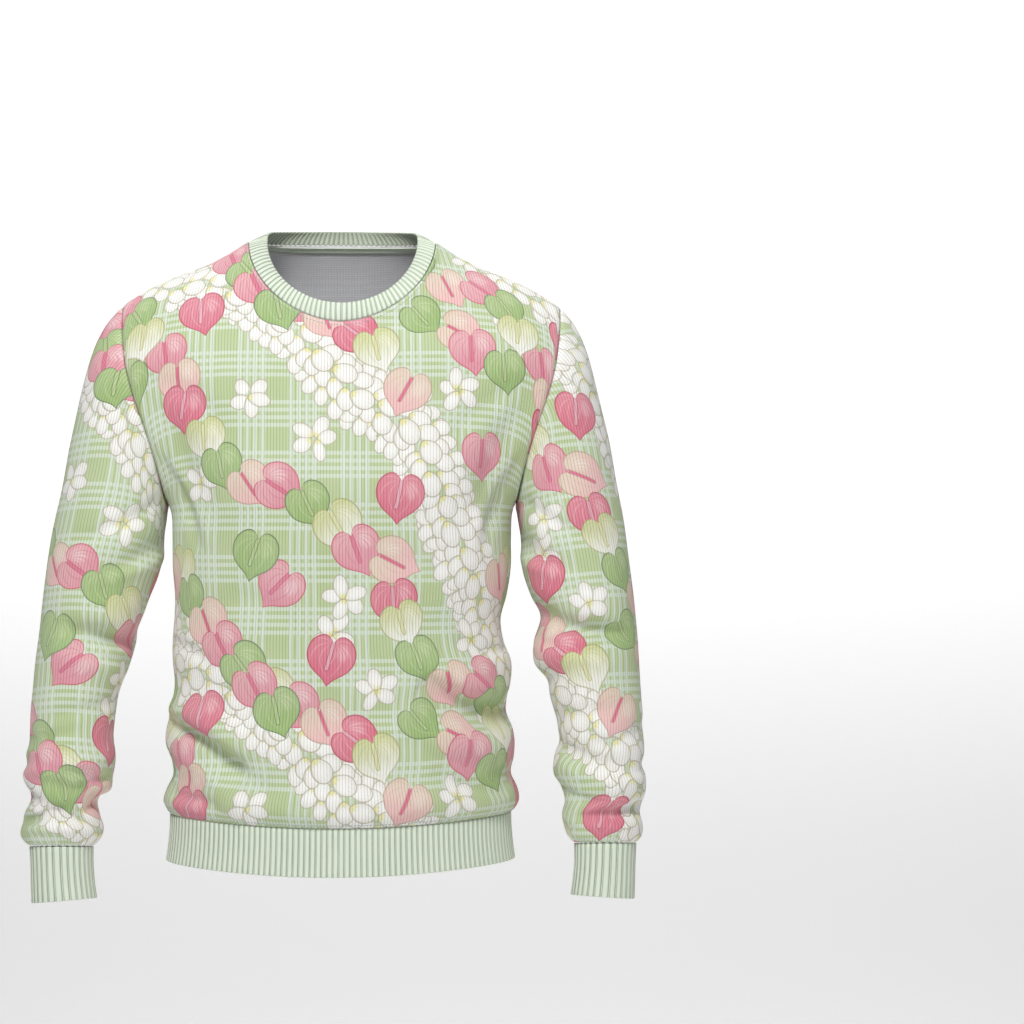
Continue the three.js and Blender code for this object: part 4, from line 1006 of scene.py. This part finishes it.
def stitches(across, up, wale, course):
    """Height from 0 to 1 of plain knit. In each column |x| runs from 0 in its middle to 1 at the
    groove. A leg is sin(pi |x|)^0.7, and a stitch |sin(pi (y - |x|/2))|^0.5 up its column."""
    x = abs((across / wale).wrapped(1.0) - 0.5) * 2
    leg = (x * math.pi).sine().most(0.0) ** 0.7
    y = (up / course - x * 0.5).wrapped(1.0)
    stitch = (y * math.pi).sine().most(0.0) ** 0.5
    return leg * (stitch * 0.55 + 0.45), x


def plaid_line(place):
    """Four stripes 4.1 mm wide and 8.1 mm apart, in every 54 mm."""
    here = place.wrapped(54.0)
    stripe = abs(here.wrapped(8.1) - 4.05).between(2.3, 1.8)
    return stripe * here.between(32.6, 32.2)


def finished_material(name, base, roughness, sheen, height=None, depth=0.5):
    """The last steps of every cloth: base colour, a matt surface with the sheen of short fibres, and
    the height as bump."""
    tree = base.tree
    shader = node_of(tree, "ShaderNodeBsdfPrincipled", {"Base Color": base, "Roughness": roughness,
                     "Sheen Weight": sheen, "Sheen Roughness": 0.55, "Specular IOR Level": 0.25})
    if height is not None:
        bump = node_of(tree, "ShaderNodeBump", {"Strength": 0.7, "Distance": depth * MM, "Height": height})
        tree.links.new(bump.outputs[0], shader.inputs["Normal"])
    output = tree.nodes.new("ShaderNodeOutputMaterial")
    tree.links.new(shader.outputs[0], output.inputs[0])


def new_tree(name):
    material = bpy.data.materials.new(name)
    material.use_nodes = True
    material.node_tree.nodes.clear()
    return material, material.node_tree


def noise(tree, scale):
    """Soft noise over the object's own place, from 0 to 1."""
    place = node_of(tree, "ShaderNodeTexCoord").outputs["Object"]
    node = node_of(tree, "ShaderNodeTexNoise", {"Scale": scale, "Detail": 2.0})
    tree.links.new(place, node.inputs["Vector"])
    return Number(tree, node.outputs[0])


# %% Printed knit
printed, tree = new_tree("printed knit")
across, down, _ = attribute(tree, "cloth")
ground = plain(tree, colour(194, 210, 160))
shade = ground.mixed(colour(224, 234, 222), plaid_line(across) * 0.72)
shade = shade.mixed(colour(224, 234, 222), plaid_line(down + 20) * 0.72)
for group, motif in ((petal_group, "petal"), (heart_group, "heart")):
    for number in (2, 1, 0):
        node = node_of(tree, "ShaderNodeGroup", node_tree=group)
        vector = node_of(tree, "ShaderNodeAttribute", attribute_name=f"{motif}_{number}")
        tree.links.new(vector.outputs["Vector"], node.inputs[0])
        tree.links.new(shade.socket, node.inputs[1])
        shade = Shade(tree, node.outputs[0])
height, groove = stitches(across, down * -1, WALE, COURSE)
# Painted shade: the grooves between the columns of stitches and the low parts of the yarn are darkened by
# multiplying.
shade = shade.mixed(colour(140, 142, 132), groove.between(0.4, 1.0) * 0.38, "MULTIPLY")
shade = shade.mixed(colour(160, 162, 152), height.between(0.5, 0.0) * 0.25, "MULTIPLY")
shade = shade.mixed(colour(255, 255, 255), noise(tree, 18.0).between(0.35, 0.75) * 0.06)
finished_material("printed knit", shade, 0.88, 0.18, height + noise(tree, 900.0) * 0.35, 0.55)

reverse, tree = new_tree("knit reverse")
across, down, _ = attribute(tree, "cloth")
height, groove = stitches(down, across, COURSE, WALE)
# Painted shade: the grey is darkened in the grooves between the stitches.
grey = plain(tree, colour(216, 216, 218)).mixed(colour(160, 160, 164), groove.between(0.5, 1.0) * 0.35)
grey = grey.mixed(colour(222, 222, 224), noise(tree, 14.0).between(0.4, 0.8) * 0.3)
finished_material("knit reverse", grey, 0.92, 0.1, height + noise(tree, 700.0) * 0.5, 0.4)
print("printed knit has", len(printed.node_tree.nodes), "nodes")

# %% [markdown]
# ## Panels and sleeves
#
# Each grid becomes a mesh that carries its cloth coordinates, and Solidify gives it the thickness of the
# knit, inwards, with the plain grey reverse on its inner side.


# %% Build the four printed pieces
def cloth_piece(name, node, points, around, across, down, flip):
    """A grid of points as printed cloth with its reverse inside. across and down give the place on the
    cloth for the rows and columns of the corners, and their area is that of the cut."""
    piece, place = mesh_from_grid(name, points, around=around, flip=flip)
    across, down = across(*place), down(*place)
    print_on(piece, across, down)
    piece.data.materials.append(printed)
    piece.data.materials.append(reverse)
    solidify = piece.modifiers.new("thickness", "SOLIDIFY")
    solidify.thickness, solidify.offset = CLOTH * MM, -1
    solidify.material_offset, solidify.material_offset_rim = 1, 1
    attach(piece, "root")
    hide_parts(node)


for name, sheet, shift, drop in (("front_knit", front, 0, 0), ("back_knit", back, 96, 150)):
    neck_v = sheet["v"][-1, PANEL_COLUMNS // 2]
    cloth_piece(name, name.replace("knit", "panel"), sheet["cloth"], False,
                lambda r, c: sheet["u"][r, c] + shift, lambda r, c: neck_v - sheet["v"][r, c] + drop, False)
for name, sheet, shift, drop in (("right_sleeve_knit", right, -140, -120), ("left_sleeve_knit", left, 130, 60)):
    cut = TOP_ROW - UNDERARM_ROW
    side, top_v = sheet["side"], sheet["v"].max()

    def across_sleeve(r, c):
        """Round from the outer line: forwards up to the underarm seam, and backwards beyond it."""
        first = c.min(1, keepdims=True)
        return -side * np.where(first < cut, sheet["u"][r, c], sheet["u_back"][r, c]) + shift

    cloth_piece(name, name.replace("_knit", ""), sheet["cloth"], True, across_sleeve,
                lambda r, c: top_v - sheet["v"][r, c] + drop, side < 0)

# %% [markdown]
# ## Rib bands
#
# Neck, hem and cuffs end in bands of rib knit, each folded double. A band's cross-section is a flat
# ring: up its outer side, round the soft fold at the free edge, down its inner side and round again at
# the seam. The ribs stand out on both sides, and a power of a sine gives each its rounded top and its
# narrow groove, which is darkened with painted shade. The inner face is a darker copy of the same knit:
# painted shade for the side that lies in shadow.

# %% The band as a closed ring of sections
BAND, RELIEF = 3.0, 1.1
HEM_BAND, HEM_FLARE, CUFF_BAND, CUFF_TILT = 50, 4.5, 58, 0.07
HEM_RIBS, CUFF_RIBS, NECK_RIBS = 156, 30, 108
COLUMNS_A_RIB = 8


def loop_reader(*loops):
    """Reads closed loops of points by a share of the first loop's length."""
    closed = [np.concatenate([loop, loop[:1]]) for loop in loops]
    walked = np.concatenate([[0], np.cumsum(steps(closed[0], 0))])
    share = walked / walked[-1]

    def read(turn):
        return [np.stack([np.interp(turn % 1, share, loop[:, k]) for k in range(3)], -1) for loop in closed]

    return read


def smoothed(loop, reach):
    """A closed loop averaged with its neighbours, reach points each way."""
    weight = hump(reach)
    total = sum(w * np.roll(loop, k, 0) for k, w in zip(range(-reach, reach + 1), weight))
    return total / weight.sum()


def rib_band(name, node, place, ribs, flip, flat):
    """place(turn, w) gives the points, normals and heights of a band's outer face, for rows w from 0
    at the seam to 1 at the free edge. With h half the thickness, the section's depth is
    middle - h cos(a) and its w shifts by h sin(a) / height, for a once round the section."""
    turn = np.arange(ribs * COLUMNS_A_RIB) / (ribs * COLUMNS_A_RIB)
    flat_rows = np.linspace(0, 1, 9)
    fold, end = np.linspace(0, np.pi, 7)[1:-1], np.linspace(np.pi, 2 * np.pi, 5)[1:-1]
    angle = np.concatenate([0 * flat_rows, fold, 0 * flat_rows + np.pi, end])[:, None]
    rows = np.concatenate([flat_rows, 1 + 0 * fold, flat_rows[::-1], 0 * end])[:, None]
    q = (turn * ribs - 0.92) % 1
    sink = RELIEF * (1 - np.sin(np.pi * q) ** 0.55)[None]
    half, middle = (BAND - 1.7 * sink) / 2, (BAND + 0.3 * sink) / 2
    height = place(turn, 0 * rows + 0.5)[2]
    edge = BAND / 2 / height
    w = edge + (1 - 2 * edge) * rows + half * np.sin(angle) / height
    points, normals, _ = place(turn, w)
    points = points - normals * (middle - half * np.cos(angle))[..., None]
    piece, (r, c) = mesh_from_grid(name, points, around=True, along=True, flip=flip)
    pitch = flat[0] / MM / ribs
    y = (w * height)[r % len(rows), c % len(turn)]
    across = c / COLUMNS_A_RIB * pitch
    corner_vectors(piece, "cloth", np.stack([across, y, (across / pitch - 0.92) % 1], -1))
    for material in rib_knits:
        piece.data.materials.append(material)
    # Faces on the inner side of the band get the darker copy of the rib knit, which is painted shade.
    mesh_rows = r.min(1)
    inner = (mesh_rows > len(flat_rows) + 1) & (mesh_rows < len(rows) - 2)
    piece.data.polygons.foreach_set("material_index", inner.astype(np.int32))
    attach(piece, "root")
    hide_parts(node)
    print(name, "has", ribs, "ribs", round(pitch, 1), "mm apart")


# %% Rib knit, outside and inside
rib_knits = []
# The second material is the same rib knit made darker for the band's inner face: painted shade.
for name, light, groove in (("rib knit", (219, 229, 210), (80, 94, 76)),
                            ("rib knit inside", (186, 196, 176), (58, 68, 54))):
    material, tree = new_tree(name)
    across, along, q = attribute(tree, "cloth")
    rounded = (q * math.pi).sine().most(0.0) ** 0.55
    x = abs(q - 0.5) * 2
    course = (along / 2.3 - x * 0.6).wrapped(1.0)
    stitch = (course * math.pi).sine().most(0.0) ** 0.5
    # Painted shade: each rib is darkened towards its groove, and the low parts of each stitch a little.
    mint = plain(tree, colour(*light)).mixed(colour(*groove), rounded.between(0.95, 0.3) * 0.95)
    mint = mint.mixed(colour(176, 190, 170), stitch.between(0.55, 0.1) * 0.2)
    mint = mint.mixed(colour(232, 238, 226), noise(tree, 22.0).between(0.4, 0.8) * 0.12)
    finished_material(name, mint, 0.9, 0.2, stitch * 0.6 + noise(tree, 900.0) * 0.4, 0.5)
    rib_knits.append(material)


# %% Hem band and cuffs
def flattened(normals, axis):
    """Normals made square to an axis."""
    axis = unit(np.array(axis, float))
    return unit(normals - (normals @ axis)[..., None] * axis)


def front_and_back(name, row, columns):
    return np.concatenate([front[name][row, columns], back[name][row, columns]])


def hem_place(turn, w):
    point, normal = read_hem(turn)
    normal = flattened(normal, (0, 0, 1))
    points = point + normal * (HEM_FLARE * w * w)[..., None]
    points[..., 2] -= 0.3 + HEM_BAND * w
    return points, normal + 0 * points, HEM_BAND + 0 * w


hem_line = front_and_back("points", 0, slice(0, -1))
read_hem = loop_reader(hem_line, front_and_back("normals", 0, slice(0, -1)))
round_hem = steps(np.concatenate([hem_line, hem_line[:1]]), 0).sum()
rib_band("hem_band", "hem_rib", hem_place, HEM_RIBS, True, (round_hem * MM, HEM_BAND * MM))

CUFF = Table("down inward wide deep", [
    (0, 0, 33.5, 32.5), (20, 0.5, 33, 31.5), (40, 1.5, 33.5, 31), (58, 3, 34.5, 31.5),
])


def cuff_place(sheet):
    middle, side = sheet["points"][-1].mean(0), sheet["side"]

    def place(turn, w):
        angle, down = turn * 2 * np.pi, CUFF_BAND * w
        wide, deep = CUFF.read("wide", down), CUFF.read("deep", down)
        reach = wide * signed_power(np.cos(angle), 2 / TUBE)
        aside = deep * signed_power(np.sin(angle), 2 / TUBE)
        x = middle[0] - side * CUFF.read("inward", down) + reach
        z = middle[2] - 0.3 - down - WRIST_LEAN * aside - side * CUFF_TILT * reach * down / CUFF_BAND
        normal = np.stack([np.cos(angle) / wide, np.sin(angle) / deep, 0 * reach], -1)
        points = np.stack([x, middle[1] + aside, z], -1)
        return points, flattened(normal, (0, WRIST_LEAN, 1)), CUFF_BAND + 0 * reach

    return place


for name, sheet in (("right_cuff", right), ("left_cuff", left)):
    rib_band(name + "_band", name, cuff_place(sheet), CUFF_RIBS, True, (2 * np.pi * 32.8 * MM, CUFF_BAND * MM))

# %% [markdown]
# The neck band joins two closed lines: the neck seam, and its own free edge, a smaller oval that stands
# higher at the back. It leaves the seam flat and bulges by 1.6 mm on its way.

# %% Neck band
neck_columns = slice(NECK_FROM, NECK_TO)
neck_line = front_and_back("points", -1, neck_columns)
neck_normals = front_and_back("normals", -1, neck_columns)
turn = np.linspace(-np.pi / 2, 1.5 * np.pi, len(neck_line), endpoint=False)
forward = np.cos(turn)
free_edge = np.stack([
    82 * np.sin(turn), -forward * np.where(forward > 0, 71, 58),
    8 + np.where(forward > 0, -80 * forward, 11.5 * np.sqrt(np.maximum(-forward, 0))),
], -1)
tangent = np.roll(neck_line, -1, 0) - np.roll(neck_line, 1, 0)
away = unit(np.cross(tangent, neck_normals))
away *= np.sign((away * (free_edge - neck_line)).sum(-1, keepdims=True))
neck_loops = (neck_line, neck_normals, away, free_edge)
read_neck = loop_reader(*neck_loops, *(smoothed(loop, 12) for loop in neck_loops))


def neck_place(turn, w):
    mix, loops = np.clip(2 * w, 0, 1)[..., None], read_neck(turn)
    point, normal, way, end = (sewn + (soft - sewn) * mix for sewn, soft in zip(loops[:4], loops[4:]))
    point = point + 0.6 * unit(way)
    length = np.linalg.norm(end - point, axis=-1)
    lean = unit(end - point)
    point = point + (end - point) * w[..., None]
    facing = unit(normal - (normal * lean).sum(-1, keepdims=True) * lean * w[..., None])
    return point + facing * (1.6 * np.sin(np.pi * w))[..., None], facing, length


round_neck = steps(np.concatenate([neck_line, neck_line[:1]]), 0).sum()
round_free = steps(np.concatenate([free_edge, free_edge[:1]]), 0).sum()
band_height = float(np.linalg.norm(free_edge - neck_line, axis=-1).mean())
rib_band("neck_band", "neck_rib", neck_place, NECK_RIBS, False,
         ((round_neck + round_free) / 2 * MM, band_height * MM))

# %% [markdown]
# ## Neck tape and topstitching
#
# Inside the back of the neck a narrow twill tape covers the seam. Lines of topstitching run just below
# the neck band and just above the hem band. Each stitch is a short thread that comes up out of the cloth
# and goes down again.


# %% Lines over the cloth at a distance from an edge
def beside_edge(sheet, name, columns, distance, top):
    """Values of a sheet along a line that keeps a distance from its top or bottom edge, for the given
    columns. The two rows on both sides of that distance are mixed."""
    points, value = sheet["cloth"][:, columns], sheet[name][:, columns]
    if top:
        points, value = points[::-1], value[::-1]
    walked = np.concatenate([np.zeros((1, points.shape[1])), np.cumsum(steps(points, 0), 0)])
    i = np.maximum((walked < distance).sum(0) - 1, 0)
    c = np.arange(points.shape[1])
    share = ((distance - walked[i, c]) / (walked[i + 1, c] - walked[i, c]))[:, None]
    return value[i, c] * (1 - share) + value[i + 1, c] * share


# %% Neck tape
tape_knit, tree = new_tree("neck tape")
across, along, _ = attribute(tree, "cloth")
twill = ((across + abs((along / 4.3).wrapped(2.0) - 1) * 4) / 1.3).wrapped(1.0)
ridge_height = (twill * math.pi).sine()
edge_stitch = abs(abs(along - 5) - 3.2).between(0.45, 0.25) * (across / 2.6).wrapped(1.0).between(0.1, 0.25)
tape_colour = plain(tree, colour(216, 226, 206))
# Painted shade: the tape is darker in the valleys between the twill's ridges.
tape_colour = tape_colour.mixed(colour(170, 182, 162), ridge_height.between(0.5, 0.0) * 0.6)
tape_colour = tape_colour.mixed(colour(128, 146, 158), edge_stitch * 0.8)
finished_material("neck tape", tape_colour, 0.85, 0.15, ridge_height * 0.6 + edge_stitch, 0.35)

TAPE_BOTTOM, TAPE_TOP, TAPE_CUT = 9.4, 0.9, 10.5  # mm below the neck seam, and the width it is cut from
tape_columns = slice(NECK_FROM + 5, NECK_TO - 4)
levels = np.linspace(TAPE_BOTTOM, TAPE_TOP, 7)
line, out = ([beside_edge(back, name, tape_columns, d, True) for d in levels] for name in ("cloth", "normals"))
tape_points = np.stack(line) - unit(np.stack(out)) * (CLOTH + 0.3)
tape, (r, c) = mesh_from_grid("neck_tape_strip", tape_points)
walked = np.concatenate([[0], np.cumsum(steps(tape_points[0], 0))])
corner_vectors(tape, "cloth", np.stack([walked[c], levels[r], 0 * levels[r]], -1))
tape.data.materials.append(tape_knit)
thickness = tape.modifiers.new("thickness", "SOLIDIFY")
thickness.thickness, thickness.offset = 1.0 * MM, -1
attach(tape, "root")
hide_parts("neck_tape")


# %% Topstitching
THREAD_RADIUS, THREAD_RINGS, THREAD_SIDES = 0.32, 7, 6


def stitch_line(name, points, normals, pitch, length, closed):
    """Threads along a line. Each is a tube whose middle rises 0.35 mm out of the cloth as a sine and
    whose ends lie inside it."""
    if closed:
        points, normals = (np.concatenate([a, a[:1]]) for a in (points, normals))
    walked = np.concatenate([[0], np.cumsum(steps(points, 0))])
    count = int(walked[-1] / pitch)
    start = (np.arange(count) + 0.5) * walked[-1] / count
    t = np.linspace(-0.5, 0.5, THREAD_RINGS)
    at = start[:, None] + t * length

    def read(values):
        return np.stack([np.interp(at, walked, values[:, k]) for k in range(3)], -1)

    normal = unit(read(normals))
    middle = read(points) + normal * (0.5 * np.cos(np.pi * t) - 0.3)[None, :, None]
    ahead = unit(np.gradient(middle, axis=1))
    aside = unit(np.cross(ahead, normal))
    angle = np.arange(THREAD_SIDES) * np.pi / 3
    ring = aside[:, :, None] * np.cos(angle)[:, None] + normal[:, :, None] * np.sin(angle)[:, None]
    tubes = middle[:, :, None] + ring * THREAD_RADIUS
    sides, last = np.arange(THREAD_SIDES), THREAD_RINGS - 1
    s, k, a = np.meshgrid(np.arange(count), np.arange(last), sides, indexing="ij")

    def corner_of(ring_step, side_step):
        return (s * THREAD_RINGS + k + ring_step) * THREAD_SIDES + (a + side_step) % THREAD_SIDES

    corner = np.stack([corner_of(0, 0), corner_of(0, 1), corner_of(1, 1), corner_of(1, 0)], -1)
    caps = [(number * THREAD_RINGS + end) * THREAD_SIDES + order
            for number in range(count) for end, order in ((0, sides[::-1]), (last, sides))]
    mesh = bpy.data.meshes.new(name)
    mesh.from_pydata((tubes.reshape(-1, 3) * MM).tolist(), [], corner.reshape(-1, 4)[:, ::-1].tolist()
                     + [cap.tolist() for cap in caps])
    mesh.polygons.foreach_set("use_smooth", np.ones(len(mesh.polygons), bool))
    mesh.materials.append(thread)
    threads = bpy.data.objects.new(name, mesh)
    bpy.context.scene.collection.objects.link(threads)
    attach(threads, "root")
    print(name, "has", count, "stitches")


thread, tree = new_tree("thread")
finished_material("thread", plain(tree, colour(150, 166, 176)), 0.6, 0.1)
for name, top, distance, columns in (("hem_topstitch", False, 5, slice(0, -1)),
                                     ("neck_topstitch", True, 5, slice(NECK_FROM, NECK_TO))):
    line, out = (np.concatenate([beside_edge(sheet, value, columns, distance, top) for sheet in (front, back)])
                 for value in ("cloth", "normals"))
    stitch_line(name, line, out, 4.0, 3.0, True)

# %% [markdown]
# ## Floor, light and the last steps
#
# Nothing of the pale room belongs to the piece. A large soft light high in front does most of the work
# and shades the folds, a weaker one fills in from the right, and a third shines down from above. The
# floor and the backdrop glow with painted light, more brightly higher up.

# %% Room and lights
room, tree = new_tree("pale room")
place = parts_of(tree, node_of(tree, "ShaderNodeTexCoord").outputs["Object"])
# The backdrop glows with painted light: emission 0.3 on the floor, rising to 0.66 from the shoulders' height
# up. It shows as white and lights the garment from below and behind.
pale = node_of(tree, "ShaderNodeBsdfPrincipled", {"Base Color": (0.9, 0.9, 0.9, 1), "Roughness": 0.9,
               "Emission Color": (1, 1, 1, 1), "Emission Strength": place[2].between(-1.5, 0.0, 0.3, 0.66)})
tree.links.new(pale.outputs[0], tree.nodes.new("ShaderNodeOutputMaterial").inputs[0])
bend = np.linspace(0, np.pi / 2, 24)
sweep = np.concatenate([
    [(-3500, -1500)], np.stack([3200 + 2000 * np.sin(bend), 500 - 2000 * np.cos(bend)], -1), [(5200, 5000)],
])
points = np.stack([np.stack([0 * sweep[:, 0] + x, sweep[:, 0], sweep[:, 1]], -1) for x in (-1800, 3000)], 1)
backdrop, _ = mesh_from_grid("backdrop", points)
backdrop.data.materials.append(room)
world = bpy.data.worlds.new("pale room")
bpy.context.scene.world = world
world.use_nodes = True
world.node_tree.nodes["Background"].inputs[0].default_value = (1, 1, 1, 1)
world.node_tree.nodes["Background"].inputs[1].default_value = 0.22


def soft_light(name, place, aim, size, power):
    light = bpy.data.objects.new(name, bpy.data.lights.new(name, "AREA"))
    bpy.context.scene.collection.objects.link(light)
    light.data.size, light.data.energy = size, power
    light.location = place
    way = np.array(aim) - np.array(place)
    light.rotation_euler = (math.acos(-way[2] / np.linalg.norm(way)), 0, math.atan2(-way[0], way[1]))


soft_light("key", (-0.45, -2.4, 2.1), (0, 0, -0.3), 0.9, 88)
soft_light("fill", (1.2, -2.9, 0.2), (0, 0, -0.4), 1.4, 9)
soft_light("top", (0, 0.1, 2.1), (0, 0, -0.3), 1.4, 16)
bpy.context.scene.view_settings.view_transform = "Standard"
bpy.context.scene.view_settings.look = "None"
